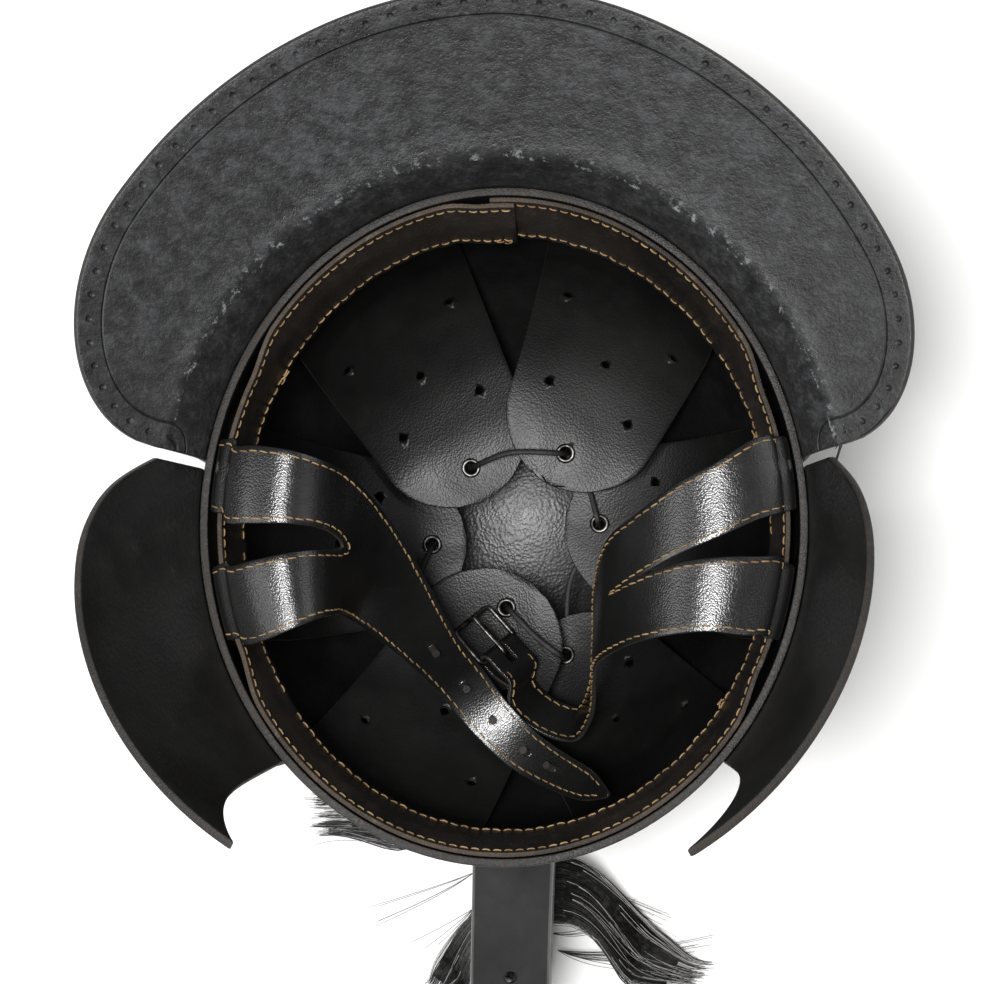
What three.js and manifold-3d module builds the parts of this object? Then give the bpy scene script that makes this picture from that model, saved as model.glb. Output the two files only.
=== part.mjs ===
// A Greek style helmet of black leather with a horsehair crest, lying upside down on its crest.
// Millimetres, +Z up. The opening faces up, the front faces -Y and the neck guard +Y.
// Heights in the pieces below are measured from the rim of the skull bowl: the guards rise above
// it, and the bowl, the liner and the crest hang below it.

import * as THREE from 'three';
import { mergeVertices } from 'three/addons/utils/BufferGeometryUtils.js';
import Module from 'manifold-3d';

const wasm = await Module();
wasm.setup();

// Running clearance between neighbouring pieces, and the length of the tools that cut holes.
const CLEARANCE = 0.3;
const PUNCH_LENGTH = 14;

// Skull bowl: an egg of stiff leather, open at the rim.
const RIM_HALF_WIDTH = 109.5;
const RIM_HALF_LENGTH = 122.5;
const BOWL_DEPTH = 150;
const BOWL_WALL = 3;
const BOWL_FULLNESS = 2.3;
const BOWL_ROOM = 1.2;

// Neck guard: a skirt that laps over the bowl, a bend, and a wide sloping brim.
const NECK_THICKNESS = 3;
const NECK_LAP = 27;
const NECK_BEND_HEIGHT = 20;
const NECK_FLARE_SIDE = 10;
const NECK_FLARE_BACK = 5.5;
const NECK_BRIM_REACH = 51;
const NECK_BRIM_SLOPE = 35;
const NECK_END_ANGLE = 11;
const NECK_END_TURN_RIGHT = 22;
const NECK_END_TURN_LEFT = 28;
const NECK_NARROWING_RIGHT = 0.3;
const NECK_NARROWING_LEFT = 0.14;
const NECK_END_REACH = 0.06;
const NECK_END_CROWDING = 0.4;

// Cheek guards: curved plates with a scooped front edge and a forward tip.
const CHEEK_THICKNESS = 3;
const CHEEK_LAP = 27;
const CHEEK_LENGTH = 115;
const CHEEK_BACK_ANGLE = 170.5;
const CHEEK_FRONT_ANGLE = 224;
const CHEEK_LEFT_TIP_SWEEP = 8;
const CHEEK_RIGHT_TIP_SWEEP = 14;
const CHEEK_LEFT_FLARE_BACK = 53;
const CHEEK_LEFT_FLARE_TIP = 15;
const CHEEK_RIGHT_FLARE_BACK = 27;
const CHEEK_RIGHT_FLARE_TIP = 7;

// Rivets that hold the guards to the bowl.
const RIVET_DROP = 19;
const RIVET_SHANK = 1.6;
const RIVET_HEAD = 4.5;
const RIVET_HEAD_HEIGHT = 1.6;
const RIVET_WASHER = 2.6;
const RIVET_WASHER_HEIGHT = 0.8;
const RIVET_SEAT = 0.9;

// Sweatband: a strap of leather inside the rim, its ends lapped at the back.
const BAND_THICKNESS = 1.8;
const BAND_HEIGHT = 33;
const BAND_DROP = 1;
const BAND_LAP_ANGLE = 5;
const BAND_EASE = 1;

// Liner petals: six tongues sewn behind the sweatband and drawn together with a lace.
const PETAL_THICKNESS = 1.6;
const PETAL_TAB = 10;
const PETAL_TAB_DROP = 25;
const PETAL_BASE_ANGLE = 42;
const PETAL_TIP_RADIUS = 28;
const PETAL_TIP_BEYOND = 14;
const PETAL_HOLE = 1.7;
const EYELET_RADIUS = 4;
const EYELET_BORE = 2.2;
const EYELET_BARREL = 2.8;
const EYELET_FLANGE = 0.6;
const EYELET_SEAT = 0.5;
const LACE_WIDTH = 2.2;
const LACE_THICKNESS = 1;

// Chin straps: a forked strap each side, the left with holes, the right with a buckle.
const STRAP_THICKNESS = 1.6;
const STRAP_SPREAD = 72;
const STRAP_TAIL_WIDTH = 18;
const STRAP_ROOT_DEPTH = 14;
const STRAP_HOLE = 1.5;
const FORK_GAP_ROOT = 0.34;
const FORK_GAP_END = 0.12;
const BUCKLE_WIDTH = 24;
const BUCKLE_LENGTH = 19;
const BUCKLE_BAR = 2;
const STRAP_LEAD = 12;
const STRAP_RETURN = 13;
const STRAP_SLOT = 12;
const TONGUE_WIDTH = 2.4;
const TONGUE_THICKNESS = 1.8;

// Crest: a curved leather-covered box that touches the crown, with horsehair along its outer face.
const CREST_RADIUS = 300;
const CREST_HEIGHT = 24;
const CREST_ASIDE = -1.5;
const CREST_FRONT_REACH = 176;
const CREST_BACK_REACH = 150;
const CREST_CROWN_WIDTH = 37;
const CREST_END_WIDTH = 31;
const CREST_RIVET_SETBACK = 6;
const CREST_RIVET_SHANK = 1.2;
const CREST_RIVET_HEAD = 2.6;
const CREST_RIVET_LENGTH = 6;
const HAIR_PAD = 12;
const HAIR_ROOT_WIDTH = 26;
const HAIR_ROOT_THICKNESS = 5;
const HAIR_LOCK_THICKNESS = 9;
const HAIR_TIP_THICKNESS = 3;
const HAIR_REACH = 90;
const HAIR_SINK = 0.4;
const HAIR_ROOM = 3;

// Height of the surface that the helmet lies on, below the rim.
const FLOOR = -(BOWL_DEPTH + CLEARANCE + CREST_HEIGHT + CLEARANCE + HAIR_PAD);

// The lower edge of a cheek guard: how far its edge stands from the rim, as a share of its length,
// at shares of the way from its back corner to its tip.
const CHEEK_EDGE = [
  { along: 0.0, height: 0.16 },
  { along: 0.1, height: 0.33 },
  { along: 0.2, height: 0.45 },
  { along: 0.35, height: 0.58 },
  { along: 0.5, height: 0.69 },
  { along: 0.65, height: 0.79 },
  { along: 0.8, height: 0.88 },
  { along: 0.9, height: 0.94 },
  { along: 1.0, height: 1.0 },
];

// The liner petals, counter-clockwise from the right: the angle of the middle of the base, and the
// place of the eyelet as shares of the half width, the half length and the depth of the bowl.
const PETALS = [
  { name: 'liner_petal_1', angle: 0, x: 0.312, y: 0.064, depth: 0.735 },
  { name: 'liner_petal_2', angle: 60, x: 0.188, y: 0.292, depth: 0.69 },
  { name: 'liner_petal_3', angle: 122, x: -0.162, y: 0.249, depth: 0.72 },
  { name: 'liner_petal_4', angle: 180, x: -0.31, y: 0.0, depth: 0.765 },
  { name: 'liner_petal_5', angle: 242.5, x: -0.03, y: -0.214, depth: 0.69 },
  { name: 'liner_petal_6', angle: 305.5, x: 0.183, y: -0.366, depth: 0.785 },
];

// The lace's way through the eyelets, counted from the first petal, with the places between them as
// shares of the bowl's sizes.
const LACE_ROUTE = [
  { x: -0.27, y: 0.37, height: -0.745 },
  { eyelet: 2, down: false },
  { x: -0.02, y: 0.29, height: -0.655 },
  { eyelet: 1, down: true },
  { x: 0.27, y: 0.18, height: -0.715 },
  { eyelet: 0, down: true },
  { x: 0.2, y: -0.12, height: -0.8 },
  { eyelet: 5, down: false },
  { x: 0.178, y: -0.376, height: -0.66 },
  { x: 0.08, y: -0.31, height: -0.65 },
  { eyelet: 4, down: true },
  { x: -0.2, y: -0.1, height: -0.83 },
  { eyelet: 3, down: false },
  { x: -0.36, y: -0.12, height: -0.7 },
];

// Rows of a petal from its base to its tip, as shares of its quarter turn.
const PETAL_ROWS = [0, 0.3, 0.56, 0.76, 0.88, 0.95, 1];

// Punched holes of a petal, as shares of its length and of its half width.
const PETAL_HOLES = [
  { along: 0.2, across: -0.66 },
  { along: 0.2, across: 0.66 },
  { along: 0.4, across: 0.0 },
  { along: 0.57, across: -0.55 },
  { along: 0.57, across: 0.55 },
];

// Stations of the left chin strap past the rim: its middle as shares of the half width, half length
// and depth of the bowl, the direction across it, its width between the tail (0) and the root (1),
// and how far it follows the wall.
const LEFT_STRAP = [
  { x: -0.9, y: -0.062, height: 0.036, acrossX: 0, acrossY: 1, acrossZ: 0, spread: 0.99, hug: 1 },
  { x: -0.82, y: -0.058, height: 0.06, acrossX: 0, acrossY: 1, acrossZ: 0, spread: 0.95, hug: 1 },
  { x: -0.7, y: -0.048, height: 0.068, acrossX: 0, acrossY: 1, acrossZ: 0, spread: 0.83, hug: 0.9 },
  { x: -0.61, y: -0.046, height: 0.035, acrossX: 0.05, acrossY: 1, acrossZ: 0, spread: 0.72, hug: 0.6 },
  { x: -0.535, y: -0.062, height: -0.055, acrossX: 0.2, acrossY: 1, acrossZ: 0, spread: 0.6, hug: 0.3 },
  { x: -0.43, y: -0.165, height: -0.25, acrossX: 0.6, acrossY: 0.8, acrossZ: 0, spread: 0.3, hug: 0 },
  { x: -0.27, y: -0.357, height: -0.44, acrossX: 0.78, acrossY: 0.62, acrossZ: 0, spread: 0.06, hug: 0 },
  { x: -0.167, y: -0.469, height: -0.52, acrossX: 0.78, acrossY: 0.62, acrossZ: 0, spread: 0.02, hug: 0 },
  { x: -0.07, y: -0.577, height: -0.545, acrossX: 0.75, acrossY: 0.66, acrossZ: 0, spread: 0, hug: 0 },
  { x: 0.042, y: -0.672, height: -0.53, acrossX: 0.65, acrossY: 0.76, acrossZ: 0, spread: -0.02, hug: 0 },
  { x: 0.143, y: -0.727, height: -0.485, acrossX: 0.5, acrossY: 0.86, acrossZ: 0, spread: -0.05, hug: 0 },
  { x: 0.26, y: -0.775, height: -0.39, acrossX: 0.4, acrossY: 0.92, acrossZ: 0, spread: -0.1, hug: 0 },
  { x: 0.345, y: -0.805, height: -0.315, acrossX: 0.36, acrossY: 0.93, acrossZ: 0, spread: -0.22, hug: 0 },
];

// Stations of the right chin strap past the rim, in the same columns. It ends at the buckle.
const RIGHT_STRAP = [
  { x: 0.91, y: -0.04, height: 0.036, acrossX: 0, acrossY: 1, acrossZ: 0, spread: 0.99, hug: 1 },
  { x: 0.84, y: -0.049, height: 0.055, acrossX: 0, acrossY: 1, acrossZ: 0, spread: 0.95, hug: 1 },
  { x: 0.711, y: -0.076, height: 0.065, acrossX: 0, acrossY: 1, acrossZ: 0, spread: 0.78, hug: 0.8 },
  { x: 0.583, y: -0.107, height: 0.045, acrossX: 0, acrossY: 1, acrossZ: 0, spread: 0.67, hug: 0.5 },
  { x: 0.452, y: -0.156, height: -0.015, acrossX: 0, acrossY: 1, acrossZ: 0, spread: 0.54, hug: 0.2 },
  { x: 0.35, y: -0.21, height: -0.1, acrossX: 0, acrossY: 1, acrossZ: 0, spread: 0.45, hug: 0 },
  { x: 0.306, y: -0.28, height: -0.22, acrossX: 0, acrossY: 0.97, acrossZ: -0.25, spread: 0.3, hug: 0 },
  { x: 0.296, y: -0.391, height: -0.37, acrossX: 0, acrossY: 0.83, acrossZ: -0.55, spread: 0.1, hug: 0 },
  { x: 0.28, y: -0.52, height: -0.5, acrossX: 0, acrossY: 0.74, acrossZ: -0.67, spread: 0, hug: 0 },
  { x: 0.222, y: -0.59, height: -0.585, acrossX: 0.1, acrossY: 0.75, acrossZ: -0.65, spread: 0, hug: 0 },
  { x: 0.115, y: -0.56, height: -0.605, acrossX: 0.33, acrossY: 0.72, acrossZ: -0.61, spread: 0, hug: 0 },
  { x: 0.03, y: -0.49, height: -0.6, acrossX: 0.5, acrossY: 0.6, acrossZ: -0.62, spread: 0, hug: 0 },
];

// Where the roots of both straps are, as a share of the half length, how high they stand where they
// turn over the sweatband, and how many stations past the rim the fork runs.
const STRAP_ROOT_Y = -0.045;
const STRAP_OVER_BAND = 2.8;
const FORK_STATIONS = 4;

// Holes in the left strap, as shares of its length from rim to tip.
const STRAP_HOLES = [0.645, 0.705, 0.765, 0.83, 0.885];

// The buckle: the middle of its frame as shares of the bowl's sizes, and the directions along the
// strap and across it.
const BUCKLE = {
  x: -0.1,
  y: -0.306,
  height: -0.6,
  along: new THREE.Vector3(-0.667, 0.745, 0),
  across: new THREE.Vector3(0.57, 0.51, -0.64),
};

// Locks of horsehair on the floor: where each starts, as a share of the way from the front end of
// the crest (0) to its back end (1), its length as a share of the reach, the turn of its tip
// towards the front in degrees, and its width as a share of the spacing of the locks.
const LEFT_LOCKS = [
  { at: 0.1, reach: 0.35, turn: 60, width: 0.5 },
  { at: 0.27, reach: 0.86, turn: 8, width: 0.6 },
  { at: 0.43, reach: 1.0, turn: 0, width: 1.05 },
  { at: 0.58, reach: 1.0, turn: -4, width: 1.1 },
  { at: 0.74, reach: 0.96, turn: -8, width: 1.1 },
  { at: 0.9, reach: 0.92, turn: -14, width: 1.1 },
];
const RIGHT_LOCKS = [
  { at: 0.163, reach: 0.8, turn: 35, width: 0.57 },
  { at: 0.28, reach: 0.6, turn: 0, width: 0.65 },
  { at: 0.4, reach: 0.9, turn: 0, width: 0.9 },
  { at: 0.52, reach: 0.96, turn: 0, width: 1.05 },
  { at: 0.65, reach: 1.0, turn: -5, width: 1.1 },
  { at: 0.78, reach: 0.96, turn: -9, width: 1.15 },
  { at: 0.91, reach: 0.94, turn: -14, width: 1.1 },
];

const radians = THREE.MathUtils.degToRad;
const mix = THREE.MathUtils.lerp;

const blackLeather = new THREE.MeshStandardMaterial({ color: 0x1b1a19, roughness: 0.5, metalness: 0 });
const fleshLeather = new THREE.MeshStandardMaterial({ color: 0x454547, roughness: 0.85, metalness: 0 });
const linerLeather = new THREE.MeshStandardMaterial({ color: 0x22211f, roughness: 0.6, metalness: 0 });
const bandLeather = new THREE.MeshStandardMaterial({ color: 0x2b241e, roughness: 0.65, metalness: 0 });
const strapLeather = new THREE.MeshStandardMaterial({ color: 0x151414, roughness: 0.35, metalness: 0 });
const nickel = new THREE.MeshStandardMaterial({ color: 0x9a9a98, roughness: 0.3, metalness: 1 });
const darkSteel = new THREE.MeshStandardMaterial({ color: 0x3a3a3a, roughness: 0.4, metalness: 1 });
const horsehair = new THREE.MeshStandardMaterial({ color: 0x0d0d0d, roughness: 0.45, metalness: 0 });

// Turns a closed three.js geometry into a solid that can be joined and cut.
function solidFrom(geometry) {
  const bare = geometry.clone();
  bare.deleteAttribute('normal');
  bare.deleteAttribute('uv');
  const merged = mergeVertices(bare);
  const corners = [];
  const index = merged.index.array;
  for (let i = 0; i < index.length; i += 3) {
    const [a, b, c] = [index[i], index[i + 1], index[i + 2]];
    if (a !== b && b !== c && c !== a) corners.push(a, b, c);
  }
  return new wasm.Manifold(new wasm.Mesh({
    numProp: 3,
    vertProperties: new Float32Array(merged.attributes.position.array),
    triVerts: new Uint32Array(corners),
  }));
}

// Turns a solid back into a geometry.
function geometryFrom(solid) {
  const { vertProperties, triVerts } = solid.getMesh();
  const geometry = new THREE.BufferGeometry();
  geometry.setAttribute('position', new THREE.BufferAttribute(vertProperties, 3));
  geometry.setIndex(new THREE.BufferAttribute(triVerts, 1));
  geometry.computeVertexNormals();
  return geometry;
}

function pieceFrom(name, solid, material) {
  const mesh = new THREE.Mesh(geometryFrom(solid), material);
  mesh.name = name;
  return mesh;
}

// A slab whose middle follows surface(u, v), with u and v from 0 to 1. The thickness is a number
// or a function of u and v.
function bentSlab(columns, rows, surface, thickness) {
  const slab = new THREE.BoxGeometry(1, 1, 1, columns, rows, 1);
  const places = slab.attributes.position;
  const step = 1e-3;
  for (let i = 0; i < places.count; i += 1) {
    const u = Math.round((places.getX(i) + 0.5) * 1e6) / 1e6;
    const v = Math.round((places.getY(i) + 0.5) * 1e6) / 1e6;
    const along = surface(Math.min(1, u + step), v).sub(surface(Math.max(0, u - step), v));
    const across = surface(u, Math.min(1, v + step)).sub(surface(u, Math.max(0, v - step)));
    const normal = along.cross(across).normalize();
    const depth = typeof thickness === 'function' ? thickness(u, v) : thickness;
    const point = surface(u, v).addScaledVector(normal, places.getZ(i) * depth);
    places.setXYZ(i, point.x, point.y, point.z);
  }
  return slab;
}

// Reads one column of a table at a share of the way along another column.
function readTable(table, position, value, share) {
  let next = 1;
  while (next < table.length - 1 && table[next][position] < share) next += 1;
  const before = table[next - 1];
  const after = table[next];
  return mix(before[value], after[value], (share - before[position]) / (after[position] - before[position]));
}

// The bowl at a depth below the rim, as a share of its size at the rim. The wall is how far inside
// the outer face this is.
function bowlShare(depth, wall) {
  const left = 1 - Math.pow(Math.max(0, depth) / (BOWL_DEPTH - wall), BOWL_FULLNESS);
  return Math.pow(Math.max(0, left), 1 / BOWL_FULLNESS);
}

// A point on the bowl's face at an angle from +X, moved outwards along the level normal.
function bowlPoint(angle, height, wall, outward) {
  const share = bowlShare(-height, wall);
  const normal = new THREE.Vector3(Math.cos(angle) / RIM_HALF_WIDTH, Math.sin(angle) / RIM_HALF_LENGTH, 0);
  normal.normalize();
  const point = new THREE.Vector3(
    (RIM_HALF_WIDTH - wall) * share * Math.cos(angle),
    (RIM_HALF_LENGTH - wall) * share * Math.sin(angle),
    height,
  );
  return point.addScaledVector(normal, outward);
}

// A cylinder that cuts a hole through a sheet at a point, along a direction.
function holeCutter(point, direction, radius, sides) {
  const cutter = new THREE.CylinderGeometry(radius, radius, PUNCH_LENGTH, sides);
  const turn = new THREE.Quaternion().setFromUnitVectors(new THREE.Vector3(0, 1, 0), direction);
  cutter.applyQuaternion(turn);
  cutter.translate(point.x, point.y, point.z);
  return solidFrom(cutter);
}

// The normal of a surface at u, v.
function normalOf(surface, u, v) {
  const step = 1e-3;
  const along = surface(u + step, v).sub(surface(u - step, v));
  const across = surface(u, v + step).sub(surface(u, v - step));
  return along.cross(across).normalize();
}

// Rivets, from their angle on the bowl. The guard is the thickness of the plate under the head.
const NECK_RIVET_ANGLES = [25, 57, 90, 123, 155];
const CHEEK_RIVET_ANGLES = [176, 197, 217];
const rivets = [];
NECK_RIVET_ANGLES.forEach((angle, i) => {
  rivets.push({ name: `neck_rivet_${i + 1}`, angle: radians(angle), guard: NECK_THICKNESS });
});
CHEEK_RIVET_ANGLES.forEach((angle, i) => {
  rivets.push({ name: `cheek_rivet_left_${i + 1}`, angle: radians(angle), guard: CHEEK_THICKNESS });
  rivets.push({ name: `cheek_rivet_right_${i + 1}`, angle: radians(180 - angle), guard: CHEEK_THICKNESS });
});

function rivetFrame(rivet) {
  const point = bowlPoint(rivet.angle, -RIVET_DROP, 0, 0);
  const outward = bowlPoint(rivet.angle, -RIVET_DROP, 0, 1).sub(point);
  return { point, outward };
}

function rivetHoles(chosen) {
  return chosen.map((rivet) => {
    const { point, outward } = rivetFrame(rivet);
    return holeCutter(point, outward, RIVET_SHANK + CLEARANCE, 6);
  });
}

function cutAll(solid, cutters) {
  return cutters.reduce((left, cutter) => left.subtract(cutter), solid);
}

// The bowl is turned from the closed outline of its wall, then drawn out to the egg of the rim.
function skullBowl() {
  const steps = 8;
  const rimCrowding = 1.2;
  const outline = [];
  const walls = [];
  const turns = Array.from({ length: steps + 1 }, (_, i) => (i / steps) ** rimCrowding * (Math.PI / 2));
  const addFace = (turn, wall) => {
    const share = Math.pow(Math.max(0, Math.cos(turn)), 2 / BOWL_FULLNESS);
    const depth = (BOWL_DEPTH - wall) * Math.pow(Math.sin(turn), 2 / BOWL_FULLNESS);
    outline.push(new THREE.Vector2(turn > turns[steps - 1] ? 0 : share, -depth));
    walls.push(wall);
  };
  [...turns].reverse().forEach((turn) => addFace(turn, 0));
  turns.forEach((turn) => addFace(turn, BOWL_WALL));
  const bowl = new THREE.LatheGeometry(outline, 44);
  bowl.rotateX(Math.PI / 2);
  const places = bowl.attributes.position;
  for (let i = 0; i < places.count; i += 1) {
    const wall = walls[i % outline.length];
    places.setX(i, places.getX(i) * (RIM_HALF_WIDTH - wall));
    places.setY(i, places.getY(i) * (RIM_HALF_LENGTH - wall));
  }
  return pieceFrom('skull_bowl', cutAll(solidFrom(bowl), rivetHoles(rivets)), blackLeather);
}

// The neck guard climbs the back of the bowl, bends at a crease and slopes out to a round edge.
function neckGuard() {
  const skirtRows = 3;
  const rows = 7;
  const skirt = skirtRows / rows;
  const seat = CLEARANCE + NECK_THICKNESS / 2;
  const surface = (u, v) => {
    const swing = Math.sin(Math.PI * NECK_END_CROWDING * (1 - 2 * u)) / Math.sin(Math.PI * NECK_END_CROWDING);
    const degrees = 90 - (90 - NECK_END_ANGLE) * swing;
    const angle = radians(degrees);
    const flare = mix(NECK_FLARE_BACK, NECK_FLARE_SIDE, Math.cos(angle) ** 2);
    if (v <= skirt) {
      const height = mix(-NECK_LAP, NECK_BEND_HEIGHT, v / skirt);
      const rise = Math.max(0, height) / NECK_BEND_HEIGHT;
      return bowlPoint(angle, height, 0, seat + flare * rise ** 1.5);
    }
    const fromEnd = Math.min(degrees, 180 - degrees) - NECK_END_ANGLE;
    const turn = degrees < 90 ? NECK_END_TURN_RIGHT : NECK_END_TURN_LEFT;
    const narrowing = degrees < 90 ? NECK_NARROWING_RIGHT : NECK_NARROWING_LEFT;
    const reach = NECK_BRIM_REACH * (1 - narrowing * Math.abs(Math.cos(angle)) ** 1.5);
    const round = Math.sqrt(1 - (1 - Math.min(1, fromEnd / turn)) ** 2);
    const out = reach * mix(NECK_END_REACH, 1, round) * ((v - skirt) / (1 - skirt));
    const height = NECK_BEND_HEIGHT + out * Math.tan(radians(NECK_BRIM_SLOPE));
    return bowlPoint(angle, height, 0, seat + flare + out);
  };
  const holes = rivetHoles(rivets.filter((rivet) => rivet.name.startsWith('neck')));
  const solid = cutAll(solidFrom(bentSlab(24, rows, surface, NECK_THICKNESS)), holes);
  return pieceFrom('neck_guard', solid, fleshLeather);
}

// A cheek guard laps over the side of the bowl and flares out towards its lower edge.
function cheekGuard(name, side, flareBack, flareTip, tipSweep) {
  const rows = 8;
  const lap = 2 / rows;
  const seat = CLEARANCE + CHEEK_THICKNESS / 2;
  const surface = (u, v) => {
    const edge = CHEEK_LENGTH * readTable(CHEEK_EDGE, 'along', 'height', u);
    const height = v <= lap ? mix(-CHEEK_LAP, 0, v / lap) : edge * ((v - lap) / (1 - lap));
    const rise = Math.max(0, height) / CHEEK_LENGTH;
    const front = CHEEK_FRONT_ANGLE + tipSweep * rise ** 4;
    const angle = radians(mix(CHEEK_BACK_ANGLE, front, u));
    const flare = mix(flareBack, flareTip, u) * (1 - (1 - rise) ** 1.6);
    const point = bowlPoint(angle, height, 0, seat + flare);
    point.x *= side;
    return point;
  };
  const holes = rivetHoles(rivets.filter((rivet) => rivet.name.startsWith(name.replace('guard', 'rivet'))));
  const solid = cutAll(solidFrom(bentSlab(12, rows, surface, CHEEK_THICKNESS)), holes);
  return pieceFrom(name, solid, blackLeather);
}

// A rivet is turned: a domed head outside, a shank, and a flat washer head inside the bowl.
function rivetPiece(rivet) {
  const outside = CLEARANCE + rivet.guard + RIVET_SEAT;
  const inside = -(BOWL_WALL + RIVET_SEAT);
  const outline = [
    new THREE.Vector2(0, inside - RIVET_WASHER_HEIGHT),
    new THREE.Vector2(RIVET_WASHER, inside - RIVET_WASHER_HEIGHT),
    new THREE.Vector2(RIVET_WASHER, inside),
    new THREE.Vector2(RIVET_SHANK, inside),
    new THREE.Vector2(RIVET_SHANK, outside),
    new THREE.Vector2(RIVET_HEAD, outside),
    new THREE.Vector2(RIVET_HEAD * 0.6, outside + RIVET_HEAD_HEIGHT),
    new THREE.Vector2(0, outside + RIVET_HEAD_HEIGHT),
  ];
  const { point, outward } = rivetFrame(rivet);
  const piece = pieceFrom(rivet.name, solidFrom(new THREE.LatheGeometry(outline, 6)), darkSteel);
  piece.quaternion.setFromUnitVectors(new THREE.Vector3(0, 1, 0), outward);
  piece.position.copy(point);
  return piece;
}

// The gap between the bowl and the sweatband, which takes a petal's tab or a strap's root.
const BAND_GAP = Math.max(PETAL_THICKNESS, STRAP_THICKNESS) + 2 * CLEARANCE + BAND_EASE;
const WALL_EASE = CLEARANCE + BAND_EASE / 2;

// The sweatband runs once round inside the rim. Its first end lies over its last at the back.
function sweatband() {
  const first = 90 - BAND_LAP_ANGLE / 2;
  const turn = 360 + BAND_LAP_ANGLE;
  const ease = 8;
  const surface = (u, v) => {
    const past = turn * u;
    const lift = 1 - THREE.MathUtils.smoothstep(past, BAND_LAP_ANGLE + 1.5, BAND_LAP_ANGLE + 1.5 + ease);
    const inward = BAND_GAP + BAND_THICKNESS / 2 + lift * (BAND_THICKNESS + CLEARANCE);
    const height = -BAND_DROP - BAND_HEIGHT * v;
    return bowlPoint(radians(first + past), height, BOWL_WALL, -inward);
  };
  return pieceFrom('sweatband', solidFrom(bentSlab(60, 1, surface, BAND_THICKNESS)), bandLeather);
}

// Moves a point inwards to the wall of the bowl, where it would lie outside it.
function keepInBowl(point, inward) {
  const share = bowlShare(-point.z, BOWL_WALL);
  const halfWidth = (RIM_HALF_WIDTH - BOWL_WALL) * share - inward;
  const halfLength = (RIM_HALF_LENGTH - BOWL_WALL) * share - inward;
  const reach = Math.hypot(point.x / halfWidth, point.y / halfLength);
  if (reach > 1) {
    point.x /= reach;
    point.y /= reach;
  }
  return point;
}

// A petal hangs from a tab behind the sweatband and curves in to a round tip past its eyelet.
function petalSurface(petal) {
  const tabRows = 1;
  const rows = PETAL_ROWS.length - 1 + tabRows;
  const tab = tabRows / rows;
  const inward = WALL_EASE + PETAL_THICKNESS / 2;
  const low = -(PETAL_TAB_DROP + PETAL_TAB);
  const middle = bowlPoint(radians(petal.angle), low, BOWL_WALL, -inward);
  const eyelet = new THREE.Vector3(petal.x * RIM_HALF_WIDTH, petal.y * RIM_HALF_LENGTH, low);
  const along = eyelet.clone().sub(middle);
  const length = along.length() + PETAL_TIP_BEYOND;
  along.normalize();
  const across = new THREE.Vector3(-along.y, along.x, 0);
  const eyeletShare = 1 - PETAL_TIP_BEYOND / length;
  const drop = (petal.depth * BOWL_DEPTH + low) / Math.sqrt(1 - (1 - eyeletShare) ** 2);
  const round = PETAL_TIP_RADIUS / length;
  const surface = (u, v) => {
    const side = 1 - 2 * u;
    const angle = radians(petal.angle - (side * PETAL_BASE_ANGLE) / 2);
    if (v <= tab) return bowlPoint(angle, mix(-PETAL_TAB_DROP, low, v / tab), BOWL_WALL, -inward);
    const row = ((v - tab) / (1 - tab)) * (PETAL_ROWS.length - 1);
    const below = Math.min(PETAL_ROWS.length - 2, Math.floor(row));
    const quarter = mix(PETAL_ROWS[below], PETAL_ROWS[below + 1], row - below) * (Math.PI / 2);
    const share = 1 - Math.cos(quarter);
    const tip = Math.max(0, (share - (1 - round)) / round);
    const narrow = Math.sqrt(1 - 0.97 * tip ** 2);
    const atBase = bowlPoint(angle, low, BOWL_WALL, -inward).sub(middle);
    const atTip = across.clone().multiplyScalar(side * PETAL_TIP_RADIUS);
    const point = middle.clone().addScaledVector(along, length * share);
    point.add(atBase.lerp(atTip, share).multiplyScalar(narrow));
    point.z = low - drop * Math.sin(quarter);
    return keepInBowl(point, inward + BOWL_ROOM);
  };
  const rowOf = (share) => {
    const quarter = Math.acos(1 - share) / (Math.PI / 2);
    let next = 1;
    while (PETAL_ROWS[next] < quarter) next += 1;
    const part = (quarter - PETAL_ROWS[next - 1]) / (PETAL_ROWS[next] - PETAL_ROWS[next - 1]);
    return tab + (1 - tab) * ((next - 1 + part) / (PETAL_ROWS.length - 1));
  };
  return { surface, rows, rowOf, eyeletRow: rowOf(eyeletShare) };
}

function linerPetal(petal) {
  const { surface, rows, rowOf, eyeletRow } = petalSurface(petal);
  const cutters = PETAL_HOLES.map((hole) => {
    const u = (1 + hole.across) / 2;
    const v = rowOf(hole.along);
    return holeCutter(surface(u, v), normalOf(surface, u, v), PETAL_HOLE, 6);
  });
  const seat = normalOf(surface, 0.5, eyeletRow);
  cutters.push(holeCutter(surface(0.5, eyeletRow), seat, EYELET_BARREL + CLEARANCE, 8));
  const solid = cutAll(solidFrom(bentSlab(4, rows, surface, PETAL_THICKNESS)), cutters);
  return pieceFrom(petal.name, solid, linerLeather);
}

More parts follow.
